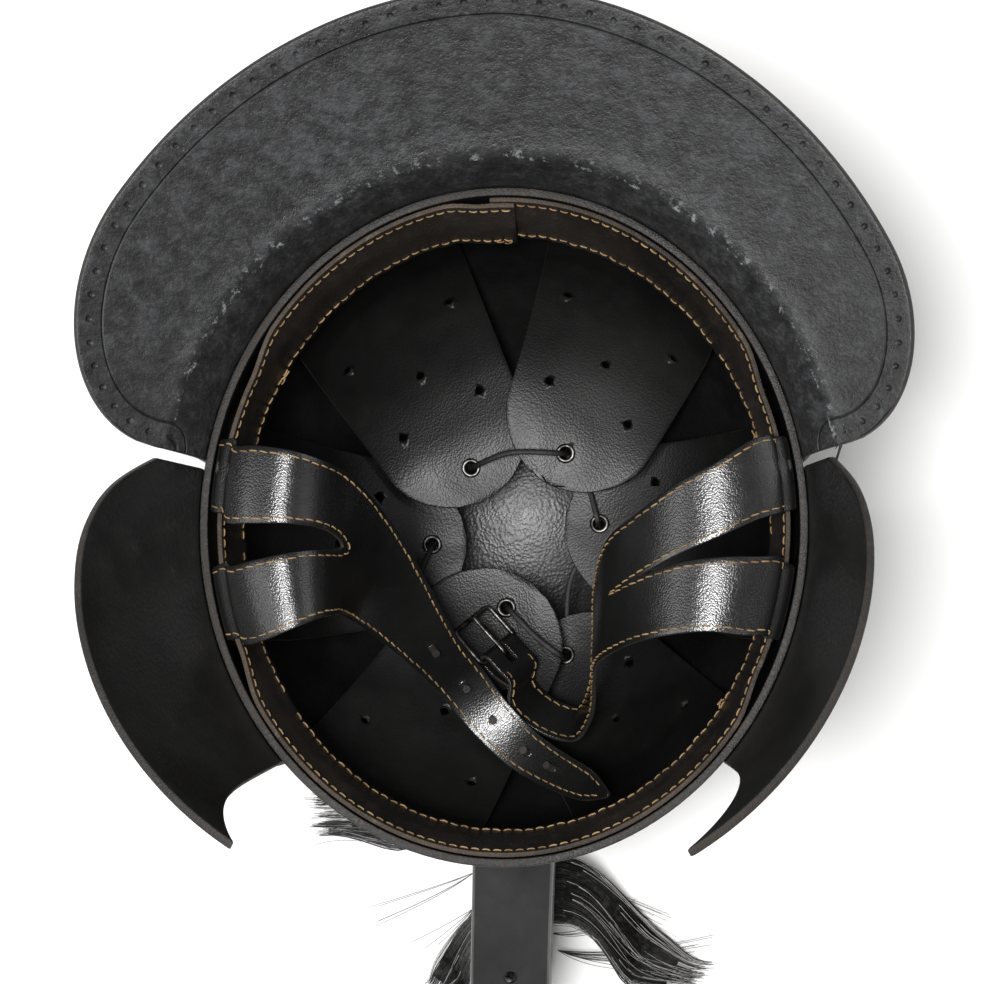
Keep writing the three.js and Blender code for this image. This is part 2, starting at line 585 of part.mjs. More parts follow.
// An eyelet is turned: a barrel through the petal with a flange on each face.
function eyeletPiece(petal) {
  const { surface, eyeletRow } = petalSurface(petal);
  const face = PETAL_THICKNESS / 2 + EYELET_SEAT;
  const top = face + EYELET_FLANGE;
  const outline = [
    new THREE.Vector2(EYELET_BORE, -top),
    new THREE.Vector2(EYELET_RADIUS, -top),
    new THREE.Vector2(EYELET_RADIUS, -face),
    new THREE.Vector2(EYELET_BARREL, -face),
    new THREE.Vector2(EYELET_BARREL, face),
    new THREE.Vector2(EYELET_RADIUS, face),
    new THREE.Vector2(EYELET_RADIUS, top),
    new THREE.Vector2(EYELET_BORE, top),
    new THREE.Vector2(EYELET_BORE, -top),
  ];
  const name = petal.name.replace('liner_petal', 'petal_eyelet');
  const piece = pieceFrom(name, solidFrom(new THREE.LatheGeometry(outline, 7)), nickel);
  piece.quaternion.setFromUnitVectors(new THREE.Vector3(0, 1, 0), normalOf(surface, 0.5, eyeletRow));
  piece.position.copy(surface(0.5, eyeletRow));
  return piece;
}

// The lace passes through the eyelets in turn: over, under and through, as a flat loop.
function drawLace() {
  const eyelets = PETALS.map((petal) => {
    const { surface, eyeletRow } = petalSurface(petal);
    const normal = normalOf(surface, 0.5, eyeletRow);
    return { place: surface(0.5, eyeletRow), up: normal.z > 0 ? normal : normal.negate() };
  });
  const near = PETAL_THICKNESS / 2 + EYELET_SEAT + EYELET_FLANGE + 2 * CLEARANCE + LACE_THICKNESS;
  const over = (i) => eyelets[i].place.clone().addScaledVector(eyelets[i].up, near);
  const under = (i) => eyelets[i].place.clone().addScaledVector(eyelets[i].up, -near);
  const points = [];
  LACE_ROUTE.forEach((step) => {
    if (step.eyelet === undefined) {
      points.push(new THREE.Vector3(
        step.x * RIM_HALF_WIDTH,
        step.y * RIM_HALF_LENGTH,
        step.height * BOWL_DEPTH,
      ));
      return;
    }
    points.push(step.down ? over(step.eyelet) : under(step.eyelet));
    points.push(step.down ? under(step.eyelet) : over(step.eyelet));
  });
  const path = new THREE.CatmullRomCurve3(points, false, 'centripetal');
  const section = new THREE.Shape([
    new THREE.Vector2(-LACE_WIDTH / 2, -LACE_THICKNESS / 2),
    new THREE.Vector2(LACE_WIDTH / 2, -LACE_THICKNESS / 2),
    new THREE.Vector2(LACE_WIDTH / 2, LACE_THICKNESS / 2),
    new THREE.Vector2(-LACE_WIDTH / 2, LACE_THICKNESS / 2),
  ]);
  const lace = new THREE.ExtrudeGeometry(section, { steps: 56, extrudePath: path });
  return pieceFrom('draw_lace', solidFrom(lace), strapLeather);
}

// A strap comes up between the bowl and the sweatband, turns over the band and follows its
// stations. The side is -1 on the left and 1 on the right. Loop points, if any, are whole places.
function strapSurface(stations, side, loop) {
  const slot = WALL_EASE + STRAP_THICKNESS / 2;
  const wallX = (y, height) => {
    const share = bowlShare(-height, BOWL_WALL);
    const halfLength = (RIM_HALF_LENGTH - BOWL_WALL) * share;
    return (RIM_HALF_WIDTH - BOWL_WALL) * share * Math.sqrt(Math.max(0, 1 - (y / halfLength) ** 2));
  };
  const rootY = STRAP_ROOT_Y * RIM_HALF_LENGTH;
  const root = [
    { inward: slot, height: -STRAP_ROOT_DEPTH },
    { inward: slot, height: -STRAP_ROOT_DEPTH / 2 },
    { inward: slot, height: 0 },
    { inward: slot + STRAP_THICKNESS, height: STRAP_OVER_BAND },
    { inward: BAND_GAP + BAND_THICKNESS + STRAP_THICKNESS, height: 1.6 * STRAP_OVER_BAND },
  ].map(({ inward, height }) => ({
    place: new THREE.Vector3(side * (wallX(rootY, height) - inward), rootY, height),
    across: new THREE.Vector3(0, 1, 0),
    width: STRAP_SPREAD,
    hug: 1,
  }));
  const free = stations.map((row) => ({
    place: new THREE.Vector3(row.x * RIM_HALF_WIDTH, row.y * RIM_HALF_LENGTH, row.height * BOWL_DEPTH),
    across: new THREE.Vector3(row.acrossX, row.acrossY, row.acrossZ).normalize(),
    width: mix(STRAP_TAIL_WIDTH, STRAP_SPREAD, row.spread),
    hug: row.hug,
  }));
  const rows = [...root, ...free, ...loop];
  const places = new THREE.CatmullRomCurve3(rows.map((row) => row.place), false, 'centripetal');
  const acrosses = new THREE.CatmullRomCurve3(rows.map((row) => row.across), false, 'catmullrom', 0.5);
  const surface = (u, v) => {
    const along = Math.min(1, Math.max(0, u)) * (rows.length - 1);
    const below = Math.min(rows.length - 2, Math.floor(along));
    const part = along - below;
    const width = mix(rows[below].width, rows[below + 1].width, part);
    const hug = mix(rows[below].hug, rows[below + 1].hug, part);
    const place = places.getPoint(along / (rows.length - 1));
    if (u < 0) place.z += u * (rows.length - 1) * (STRAP_ROOT_DEPTH / 2);
    const across = acrosses.getPoint(along / (rows.length - 1)).normalize();
    const point = place.clone().addScaledVector(across, (v - 0.5) * width);
    if (hug > 0) {
      const inward = wallX(place.y, place.z) - Math.abs(place.x);
      point.x = mix(point.x, side * (wallX(point.y, place.z) - inward), hug);
    }
    return point;
  };
  const columns = rows.length - 1;
  return { surface, columns, forkEnd: (root.length + FORK_STATIONS) / columns };
}

// A strap is one sheet with the fork cut out between its arms.
function strapSolid({ surface, columns, forkEnd }) {
  const sheet = solidFrom(bentSlab(columns, 3, surface, STRAP_THICKNESS));
  const forkSurface = (u, v) => {
    const along = mix(-0.03, forkEnd, u);
    const width = mix(FORK_GAP_ROOT, FORK_GAP_END, u);
    return surface(along, 0.5 + (v - 0.5) * width);
  };
  const fork = solidFrom(bentSlab(9, 1, forkSurface, 4 * STRAP_THICKNESS));
  return sheet.subtract(fork);
}

function chinStrapLeft() {
  const strap = strapSurface(LEFT_STRAP, -1, []);
  const holes = STRAP_HOLES.map((along) => {
    const normal = normalOf(strap.surface, along, 0.5);
    return holeCutter(strap.surface(along, 0.5), normal, STRAP_HOLE, 8);
  });
  return pieceFrom('chin_strap_left', cutAll(strapSolid(strap), holes), strapLeather);
}

// The buckle's frame of reference: along the strap, up out of its face, and across to its side.
const buckleAlong = BUCKLE.along.clone().normalize();
const buckleUp = BUCKLE.across.clone().cross(buckleAlong).normalize();
const buckleSide = buckleUp.clone().cross(buckleAlong);
const buckleMiddle = new THREE.Vector3(
  BUCKLE.x * RIM_HALF_WIDTH,
  BUCKLE.y * RIM_HALF_LENGTH,
  BUCKLE.height * BOWL_DEPTH,
);
const barSetback = (BUCKLE_LENGTH - BUCKLE_BAR) / 2;
const buckleBar = buckleMiddle.clone().addScaledVector(buckleAlong, -barSetback);
const barCorner = (BUCKLE_BAR / 2) * Math.SQRT2;

// Sets a piece that is drawn on the buckle's axes in its place.
function placeOnBuckle(name, solid, origin) {
  const piece = pieceFrom(name, solid, nickel);
  piece.quaternion.setFromRotationMatrix(new THREE.Matrix4().makeBasis(buckleAlong, buckleSide, buckleUp));
  piece.position.copy(origin);
  return piece;
}

// The end of the right strap wraps the bar of the buckle and returns under itself.
function strapLoop() {
  const round = barCorner + CLEARANCE + STRAP_THICKNESS / 2;
  const turns = [30, 60, 90, 120, 150];
  const steps = [
    [-STRAP_LEAD, round],
    [-STRAP_LEAD / 2, round],
    [0, round],
    ...turns.map((turn) => [round * Math.sin(radians(turn)), round * Math.cos(radians(turn))]),
    [0, -round],
    [-0.4 * STRAP_RETURN, -round],
    [-STRAP_RETURN, round - STRAP_THICKNESS - 2 * CLEARANCE],
  ];
  return steps.map(([along, up]) => ({
    place: buckleBar.clone().addScaledVector(buckleAlong, along).addScaledVector(buckleUp, up),
    across: buckleSide.clone().negate(),
    width: STRAP_TAIL_WIDTH,
    hug: 0,
  }));
}

function chinStrapRight() {
  const strap = strapSurface(RIGHT_STRAP, 1, strapLoop());
  const slot = new THREE.BoxGeometry(STRAP_SLOT, TONGUE_WIDTH + 4 * CLEARANCE, STRAP_SLOT);
  slot.applyMatrix4(new THREE.Matrix4().makeBasis(buckleAlong, buckleSide, buckleUp));
  slot.translate(buckleBar.x, buckleBar.y, buckleBar.z);
  return pieceFrom('chin_strap_right', strapSolid(strap).subtract(solidFrom(slot)), strapLeather);
}

// The frame is a flat ring of wire bars with round corners.
function buckleFrame() {
  const ring = new THREE.Shape();
  const [length, width, corner] = [BUCKLE_LENGTH / 2, BUCKLE_WIDTH / 2, BUCKLE_BAR];
  ring.absarc(length - corner, width - corner, corner, 0, Math.PI / 2);
  ring.absarc(corner - length, width - corner, corner, Math.PI / 2, Math.PI);
  ring.absarc(corner - length, corner - width, corner, Math.PI, 1.5 * Math.PI);
  ring.absarc(length - corner, corner - width, corner, 1.5 * Math.PI, 2 * Math.PI);
  const plate = new THREE.ExtrudeGeometry(ring, { depth: BUCKLE_BAR, bevelEnabled: false, curveSegments: 3 });
  plate.translate(0, 0, -BUCKLE_BAR / 2);
  const window = new THREE.BoxGeometry(
    BUCKLE_LENGTH - 2 * BUCKLE_BAR,
    BUCKLE_WIDTH - 2 * BUCKLE_BAR,
    2 * BUCKLE_BAR,
  );
  return placeOnBuckle('buckle_frame', solidFrom(plate).subtract(solidFrom(window)), buckleMiddle);
}

// The tongue is a finger with an eye round the bar. Its tip rests on the far bar.
function buckleTongue() {
  const eye = barCorner + CLEARANCE;
  const under = BUCKLE_BAR / 2 + CLEARANCE;
  const top = under + TONGUE_THICKNESS;
  const tip = BUCKLE_LENGTH - BUCKLE_BAR / 2;
  const outline = new THREE.Shape();
  outline.moveTo(0, top);
  outline.lineTo(tip, top);
  outline.lineTo(tip, under);
  outline.lineTo(Math.sqrt(top ** 2 - under ** 2), under);
  outline.absarc(0, 0, top, Math.asin(under / top), Math.PI / 2, true);
  const tongue = new THREE.ExtrudeGeometry(outline, { depth: TONGUE_WIDTH, bevelEnabled: false, curveSegments: 8 });
  tongue.translate(0, 0, -TONGUE_WIDTH / 2);
  tongue.rotateX(Math.PI / 2);
  const hole = new THREE.CylinderGeometry(eye, eye, 2 * TONGUE_WIDTH, 16);
  return placeOnBuckle('buckle_tongue', solidFrom(tongue).subtract(solidFrom(hole)), buckleBar);
}

// A point on the crest's arc: an angle from the crown, a distance out from its inner face, and a
// distance to the side.
function crestPoint(angle, out, x) {
  const radius = CREST_RADIUS + CLEARANCE + out;
  return new THREE.Vector3(
    CREST_ASIDE + x,
    radius * Math.sin(angle),
    CREST_RADIUS - BOWL_DEPTH - radius * Math.cos(angle),
  );
}
const crestFront = -Math.asin(CREST_FRONT_REACH / CREST_RADIUS);
const crestBack = Math.asin(CREST_BACK_REACH / CREST_RADIUS);

function crestRivetFrame() {
  const angle = crestFront + CREST_RIVET_SETBACK / CREST_RADIUS;
  return { point: crestPoint(angle, 0, 0), inward: crestPoint(angle, -1, 0).sub(crestPoint(angle, 0, 0)) };
}

// The crest box follows the arc and narrows towards both ends.
function crestBox() {
  const surface = (u, v) => {
    const angle = mix(crestFront, crestBack, u);
    const width = mix(CREST_CROWN_WIDTH, CREST_END_WIDTH, Math.abs(angle / crestFront));
    return crestPoint(angle, CREST_HEIGHT / 2, (v - 0.5) * width);
  };
  const { point, inward } = crestRivetFrame();
  const hole = holeCutter(point, inward, CREST_RIVET_SHANK + CLEARANCE, 6);
  const solid = solidFrom(bentSlab(26, 1, surface, CREST_HEIGHT)).subtract(hole);
  return pieceFrom('crest_box', solid, fleshLeather);
}

function crestRivet() {
  const { point, inward } = crestRivetFrame();
  const outline = [
    new THREE.Vector2(0, -CREST_RIVET_LENGTH),
    new THREE.Vector2(CREST_RIVET_SHANK, -CREST_RIVET_LENGTH),
    new THREE.Vector2(CREST_RIVET_SHANK, CLEARANCE),
    new THREE.Vector2(CREST_RIVET_HEAD, CLEARANCE),
    new THREE.Vector2(CREST_RIVET_HEAD * 0.6, CLEARANCE + CREST_RIVET_HEAD / 2),
    new THREE.Vector2(0, CLEARANCE + CREST_RIVET_HEAD / 2),
  ];
  const piece = pieceFrom('crest_rivet', solidFrom(new THREE.LatheGeometry(outline, 8)), darkSteel);
  piece.quaternion.setFromUnitVectors(new THREE.Vector3(0, 1, 0), inward);
  piece.position.copy(point);
  return piece;
}

// One lock of hair leaves the root strip, falls to the floor and lies there, turning as it goes.
function hairLock(lock, side, spacing) {
  const angle = mix(crestFront, crestBack, lock.at);
  const reach = HAIR_REACH * lock.reach;
  const rootX = side * HAIR_ROOT_WIDTH * 0.3;
  const rootY = crestPoint(angle, CREST_HEIGHT, 0).y;
  const depth = (u) => mix(HAIR_LOCK_THICKNESS, HAIR_TIP_THICKNESS, u);
  const surface = (u, v) => {
    const turn = radians(lock.turn) * u;
    const narrow = mix(1, 0.5, THREE.MathUtils.smoothstep(u, 0.55, 1));
    const across = (v - 0.5) * spacing * lock.width * narrow;
    const out = CREST_HEIGHT + HAIR_ROOM + depth(u) / 2;
    const root = crestPoint(angle + across / (CREST_RADIUS + CREST_HEIGHT), out, rootX + side * reach * u);
    const laid = new THREE.Vector3(
      CREST_ASIDE + rootX + side * (reach * u * Math.cos(turn * 0.6) + across * Math.sin(turn)),
      rootY - reach * Math.sin(radians(lock.turn)) * (1 - (1 - u) ** 1.6) + across * Math.cos(turn),
      FLOOR + depth(u) / 2 - HAIR_SINK,
    );
    return root.lerp(laid, THREE.MathUtils.smoothstep(u, 0.1, 0.65));
  };
  const shape = bentSlab(5, 1, surface, depth);
  const places = shape.attributes.position;
  for (let i = 0; i < places.count; i += 1) places.setZ(i, Math.max(FLOOR, places.getZ(i)));
  return solidFrom(shape);
}

// The horsehair: a root strip along the outer face of the crest, and locks splayed to both sides.
function crestHair() {
  const margin = HAIR_ROOT_THICKNESS / CREST_RADIUS;
  const strip = (u, v) => crestPoint(
    mix(crestFront + margin, crestBack - margin, u),
    CREST_HEIGHT + CLEARANCE + HAIR_ROOT_THICKNESS / 2,
    (v - 0.5) * HAIR_ROOT_WIDTH,
  );
  const length = (crestBack - crestFront) * (CREST_RADIUS + CREST_HEIGHT);
  const pieces = [
    solidFrom(bentSlab(20, 1, strip, HAIR_ROOT_THICKNESS)),
    ...LEFT_LOCKS.map((lock) => hairLock(lock, -1, length / LEFT_LOCKS.length)),
    ...RIGHT_LOCKS.map((lock) => hairLock(lock, 1, length / RIGHT_LOCKS.length)),
  ];
  return pieceFrom('crest_hair', pieces.reduce((all, piece) => all.add(piece)), horsehair);
}

const helmet = new THREE.Group();
helmet.add(skullBowl());
helmet.add(neckGuard());
helmet.add(
  cheekGuard('cheek_guard_left', 1, CHEEK_LEFT_FLARE_BACK, CHEEK_LEFT_FLARE_TIP, CHEEK_LEFT_TIP_SWEEP),
  cheekGuard('cheek_guard_right', -1, CHEEK_RIGHT_FLARE_BACK, CHEEK_RIGHT_FLARE_TIP, CHEEK_RIGHT_TIP_SWEEP),
);
rivets.forEach((rivet) => helmet.add(rivetPiece(rivet)));
helmet.add(sweatband());
PETALS.forEach((petal) => helmet.add(linerPetal(petal), eyeletPiece(petal)));
helmet.add(drawLace());
helmet.add(chinStrapLeft());
helmet.add(chinStrapRight());
helmet.add(buckleFrame());
helmet.add(buckleTongue());
helmet.add(crestBox());
helmet.add(crestRivet());
helmet.add(crestHair());

// The helmet stands on z = 0, with the middle of its outline over the origin.
const outer = new THREE.Box3().setFromObject(helmet);
helmet.position.set(-(outer.min.x + outer.max.x) / 2, -(outer.min.y + outer.max.y) / 2, -outer.min.z);

export default helmet;
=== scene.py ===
import math

import bmesh
import bpy
import numpy as np
from mathutils import Matrix, Vector


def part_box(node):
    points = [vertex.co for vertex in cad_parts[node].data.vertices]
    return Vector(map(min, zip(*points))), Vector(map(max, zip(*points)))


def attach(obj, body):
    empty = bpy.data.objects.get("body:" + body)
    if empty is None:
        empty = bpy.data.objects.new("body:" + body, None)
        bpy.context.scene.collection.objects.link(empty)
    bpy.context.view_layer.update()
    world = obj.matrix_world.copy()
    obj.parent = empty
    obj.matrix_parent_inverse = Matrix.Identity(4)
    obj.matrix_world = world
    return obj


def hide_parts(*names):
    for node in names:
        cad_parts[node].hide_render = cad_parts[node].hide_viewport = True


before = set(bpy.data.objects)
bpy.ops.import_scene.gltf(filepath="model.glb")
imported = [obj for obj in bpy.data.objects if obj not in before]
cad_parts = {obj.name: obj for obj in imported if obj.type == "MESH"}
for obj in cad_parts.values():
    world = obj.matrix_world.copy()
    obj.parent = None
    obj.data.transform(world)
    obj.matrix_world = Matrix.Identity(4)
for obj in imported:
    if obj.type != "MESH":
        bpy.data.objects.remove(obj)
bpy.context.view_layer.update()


# The place it lies: a pale table top, lit by a large soft light above and two fill lights.
# The camera looks straight down into the opening, a little from the back and the left.
# Lengths in all sections are millimetres from the middle of the rim, whose height is 0.
low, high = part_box("skull_bowl")
RIM_MIDDLE = np.array([(low.x + high.x) / 2, (low.y + high.y) / 2, high.z]) * 1000
FLOOR = -RIM_MIDDLE[2]


def metres(points):
    """Points in millimetres from the middle of the rim, in metres in the row's frame."""
    return (np.asarray(points, float) + RIM_MIDDLE) / 1000


def unit(rows):
    """Vectors made one long."""
    return rows / np.linalg.norm(rows, axis=-1, keepdims=True)


CAMERA_AIM = np.array([-3.6, 11.3, 0.0])
CAMERA_LEAN = np.array([math.tan(math.radians(3.0)), -math.tan(math.radians(5.0)), 1.0])
CAMERA_DISTANCE = 900
CAMERA_FOCAL, PHOTO_WIDTH = 2502, 984
camera = bpy.data.objects.new("camera", bpy.data.cameras.new("camera"))
camera.data.sensor_width = 36
camera.data.lens = camera.data.sensor_width * CAMERA_FOCAL / PHOTO_WIDTH
camera.data.clip_start = 0.05
camera.data.clip_end = 20
back = Vector(unit(CAMERA_LEAN))
side = Vector((0, 1, 0)).cross(back).normalized()
camera.matrix_world = Matrix.Translation(
    Vector(metres(CAMERA_AIM)) + back * CAMERA_DISTANCE / 1000
) @ Matrix((side, back.cross(side), back)).transposed().to_4x4()
bpy.context.scene.collection.objects.link(camera)
bpy.context.scene.camera = camera

for name, place, size, watts in (
    ("key_light", (-0.12, -0.14, 1.7), 0.42, 31),
    ("right_fill", (1.1, 0.5, 1.1), 0.9, 4),
    ("left_fill", (-1.0, -0.2, 1.2), 0.8, 8),
):
    lamp = bpy.data.objects.new(name, bpy.data.lights.new(name, "AREA"))
    lamp.data.shape = "DISK"
    lamp.data.size = size
    lamp.data.energy = watts
    lamp.location = place
    lamp.rotation_euler = (Vector((0, 0, 0.12)) - Vector(place)).to_track_quat("-Z", "Y").to_euler()
    bpy.context.scene.collection.objects.link(lamp)

world = bpy.data.worlds.new("studio")
world.use_nodes = True
world.node_tree.nodes["Background"].inputs["Color"].default_value = (1, 1, 1, 1)
world.node_tree.nodes["Background"].inputs["Strength"].default_value = 0.2
bpy.context.scene.world = world
bpy.context.scene.view_settings.view_transform = "Standard"


def add_node(tree, kind, feeds=(), **settings):
    """Adds a shader node, with its settings and what feeds its sockets: values or other sockets."""
    made = tree.nodes.new("ShaderNode" + kind)
    for key, value in settings.items():
        setattr(made, key, value)
    for socket, value in dict(feeds).items():
        if isinstance(value, bpy.types.NodeSocket):
            tree.links.new(value, made.inputs[socket])
        else:
            made.inputs[socket].default_value = value
    return made


def two_tone(tree, value, ends, dark, light, middle=None):
    """A colour from dark to light, as a value goes between two ends."""
    made = add_node(tree, "ValToRGB", {"Fac": value})
    stops = made.color_ramp.elements
    for stop, at, colour in zip(stops, ends, (dark, light)):
        stop.position, stop.color = at, (*colour, 1)
    if middle:
        stops.new(sum(ends) / 2).color = (*middle, 1)
    return made.outputs["Color"]


def finish_material(name, **plain):
    """A material with a Principled BSDF, whose plain sockets are set by name."""
    material = bpy.data.materials.new(name)
    material.use_nodes = True
    shader = material.node_tree.nodes["Principled BSDF"]
    for socket, value in plain.items():
        shader.inputs[socket.replace("_", " ").title().replace("Ior", "IOR")].default_value = value
    return material, material.node_tree, shader


table, tree, shader = finish_material("pale_table", roughness=0.85)
grain = add_node(tree, "TexNoise", {"Scale": 60.0, "Detail": 1.0}).outputs["Fac"]
tint = two_tone(tree, grain, (0, 1), (0.93, 0.925, 0.915), (0.97, 0.967, 0.96))
tree.links.new(tint, shader.inputs["Base Color"])
mesh = bpy.data.meshes.new("table_top")
corners = [(x * 4, y * 4, -0.0005) for x, y in ((-1, -1), (1, -1), (1, 1), (-1, 1))]
mesh.from_pydata(corners, [], [(0, 1, 2, 3)])
mesh.materials.append(table)
table_top = bpy.data.objects.new("table_top", mesh)
bpy.context.scene.collection.objects.link(table_top)


# Skull bowl: the cap is one piece of thick leather, wetted, pressed over a block and blackened.
# Outside it has the hide's grain, inside it is rough and crossed by creases, with a shiny crown
# where wax has pooled. The rim is cut square and burnished.
RIM_HALF = np.array([109.5, 122.5])
BOWL_DEPTH = 150
BOWL_WALL = 3
BOWL_FULLNESS = 2.3


def bowl_share(height, wall):
    """How wide the bowl is at a height, as a share of its width at the rim."""
    depth = np.clip(-np.asarray(height, float), 0, None) / (BOWL_DEPTH - wall)
    return np.clip(1 - depth ** BOWL_FULLNESS, 0, None) ** (1 / BOWL_FULLNESS)


def bowl_point(angle, height, wall, outward):
    """A point on the bowl's face, moved outwards along the level normal."""
    angle, height, outward = np.broadcast_arrays(*(np.asarray(a, float) for a in (angle, height, outward)))
    share = bowl_share(height, wall)
    normal = np.stack([np.cos(angle) / RIM_HALF[0], np.sin(angle) / RIM_HALF[1]])
    normal /= np.linalg.norm(normal, axis=0)
    x = (RIM_HALF[0] - wall) * share * np.cos(angle) + normal[0] * outward
    y = (RIM_HALF[1] - wall) * share * np.sin(angle) + normal[1] * outward
    return np.stack([x, y, height], -1)


def slow_noise(points, size, seed):
    """Smooth noise between about -1 and 1 for rows of points, with features of a given size."""
    rng = np.random.default_rng(seed)
    waves = rng.normal(size=(9, 3)) / size * 2.2
    phases = rng.uniform(0, 2 * math.pi, 9)
    return np.sin(np.asarray(points) @ waves.T + phases).mean(-1) * 2


def group_with(name, inputs, outputs):
    """A shader node group with named sockets."""
    group = bpy.data.node_groups.new(name, "ShaderNodeTree")
    for socket, kind, start in inputs:
        made = group.interface.new_socket(socket, in_out="INPUT", socket_type="NodeSocket" + kind)
        if start is not None:
            made.default_value = start
    for socket, kind in outputs:
        group.interface.new_socket(socket, in_out="OUTPUT", socket_type="NodeSocket" + kind)
    ends = group.nodes.new("NodeGroupInput").outputs, group.nodes.new("NodeGroupOutput").inputs
    return group, ends[0], ends[1]


def noise(tree, place, scale, detail=2.0, rough=0.5, distortion=0.0):
    """A noise between 0 and 1 at a place."""
    feeds = {"Vector": place, "Scale": scale, "Detail": detail, "Roughness": rough, "Distortion": distortion}
    return add_node(tree, "TexNoise", feeds).outputs["Fac"]


def spread(tree, value, low, high, to_low=0.0, to_high=1.0):
    """A value brought from one range to another, and kept in it."""
    feeds = {"Value": value, "From Min": low, "From Max": high, "To Min": to_low, "To Max": to_high}
    return add_node(tree, "MapRange", feeds).outputs[0]


def worked(tree, operation, *values):
    """One step of arithmetic on values."""
    return add_node(tree, "Math", dict(enumerate(values)), operation=operation).outputs[0]


def blend(tree, share, first, second):
    """A colour that goes from a first to a second as a share goes from 0 to 1."""
    return add_node(tree, "Mix", {0: share, 6: first, 7: (*second, 1)}, data_type="RGBA").outputs[2]


def dress(tree, shader, colour, dull, height, strength, depth):
    """Gives a shader its colour, its roughness and a bump."""
    bump = add_node(tree, "Bump", {"Height": height, "Strength": strength, "Distance": depth}).outputs[0]
    for socket, source in (("Base Color", colour), ("Roughness", dull), ("Normal", bump)):
        if source is not None:
            tree.links.new(source, shader.inputs[socket])


# Leather's grain: small pebbles between creases, pores, and slow changes of tone over the hide.
grain_group, given, out = group_with(
    "leather_grain",
    [("Place", "Vector", None), ("Pebbles Per Metre", "Float", 700.0), ("Crease", "Float", 0.5)],
    [("Height", "Float"), ("Tone", "Float"), ("Scuff", "Float")],
)
bent = add_node(grain_group, "TexNoise", {"Vector": given["Place"], "Scale": 90.0, "Detail": 1.0})
moved = add_node(grain_group, "VectorMath", {0: bent.outputs["Color"], "Scale": 0.004}, operation="SCALE")
shifts = {0: given["Place"], 1: moved.outputs[0]}
place = add_node(grain_group, "VectorMath", shifts, operation="ADD").outputs[0]
pebbles = add_node(
    grain_group, "TexVoronoi", {"Vector": place, "Scale": given["Pebbles Per Metre"]}, feature="F1"
)
domed = spread(grain_group, pebbles.outputs["Distance"], 0.2, 0.75, 1.0, 0.0)
fibres = noise(grain_group, given["Place"], 1400.0, 2.0, 0.7)
folded = worked(grain_group, "MULTIPLY", noise(grain_group, place, 42.0, 4.0, 0.62), given["Crease"])
grainy = worked(grain_group, "MULTIPLY_ADD", domed, 0.35, folded)
height = worked(grain_group, "MULTIPLY_ADD", fibres, 0.25, grainy)
scuffed = spread(grain_group, noise(grain_group, given["Place"], 130.0, 4.0, 0.75), 0.55, 0.75)
grain_group.links.new(height, out["Height"])
grain_group.links.new(noise(grain_group, given["Place"], 16.0, 4.0, 0.65), out["Tone"])
grain_group.links.new(scuffed, out["Scuff"])


def leather(name, dark, light, pebbles, crease, bump, rough, scuff=0.25, **plain):
    """A leather finish: two colours mixed by the hide's tone, and roughness and bump from its grain."""
    material, tree, shader = finish_material(name, **plain)
    place = add_node(tree, "TexCoord").outputs["Object"]
    feeds = {"Place": place, "Pebbles Per Metre": pebbles, "Crease": crease}
    hide = add_node(tree, "Group", feeds, node_tree=grain_group).outputs
    tone = two_tone(tree, hide["Tone"], (0.35, 0.68), dark, light)
    worn = worked(tree, "MULTIPLY", hide["Scuff"], scuff)
    scuffed = blend(tree, worn, tone, [2.2 * c + 0.012 for c in light])
    dull = spread(tree, hide["Tone"], 0.3, 0.7, *rough)
    dress(tree, shader, scuffed, dull, hide["Height"], bump, 0.0006)
    return material


black_leather = leather(
    "black_leather", (0.006, 0.006, 0.006), (0.014, 0.0135, 0.013), 620, 0.5, 0.35, (0.32, 0.5),
    specular_ior_level=0.45,
)
cut_edge = leather(
    "cut_edge", (0.009, 0.0075, 0.0065), (0.024, 0.019, 0.015), 1500, 1.0, 0.6, (0.5, 0.8), 0.4
)


def put_on(piece, body, slot, *nodes):
    """Adds a finished piece to the scene, on its body, in place of its CAD nodes."""
    bpy.context.scene.collection.objects.link(piece)
    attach(piece, body)
    if nodes:
        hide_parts(*nodes)
    return piece


def object_of(name, points, faces, materials, uvs=None, smooth=True):
    """A mesh object from points in millimetres. The uvs are millimetres along and across, per point."""
    mesh = bpy.data.meshes.new(name)
    mesh.from_pydata(metres(points).tolist(), [], [list(map(int, face)) for face in faces])
    if uvs is not None:
        layer = mesh.uv_layers.new(name="along_and_across")
        corners = np.empty(len(mesh.loops), np.int32)
        mesh.loops.foreach_get("vertex_index", corners)
        layer.data.foreach_set("uv", (np.asarray(uvs, float)[corners] / 1000).astype(np.float32).ravel())
    for material in materials:
        mesh.materials.append(material)
    mesh.polygons.foreach_set("use_smooth", [smooth] * len(mesh.polygons))
    mesh.update()
    return bpy.data.objects.new(name, mesh)


def settle(piece, *modifiers):
    """Applies modifiers, given as a kind and its settings, and leaves a plain mesh."""
    bpy.context.scene.collection.objects.link(piece)
    for kind, settings in modifiers:
        modifier = piece.modifiers.new(kind, kind)
        for key, value in settings.items():
            setattr(modifier, key, value)
    bpy.context.view_layer.update()
    done = bpy.data.meshes.new_from_object(piece.evaluated_get(bpy.context.evaluated_depsgraph_get()))
    done.name = piece.name
    piece.modifiers.clear()
    piece.data = done
    bpy.context.scene.collection.objects.unlink(piece)
    return piece


def thicken(thickness, edge_slot=1, back_slot=0, bevel=0.3):
    """The modifiers that turn a single sheet into leather with rounded cut edges."""
    return (
        ("SOLIDIFY", {"thickness": thickness / 1000, "offset": 0, "use_even_offset": True,
                      "material_offset": back_slot, "material_offset_rim": edge_slot}),
        ("BEVEL", {"width": bevel / 1000, "segments": 2, "limit_method": "ANGLE",
                   "angle_limit": math.radians(50), "use_clamp_overlap": False}),
    )


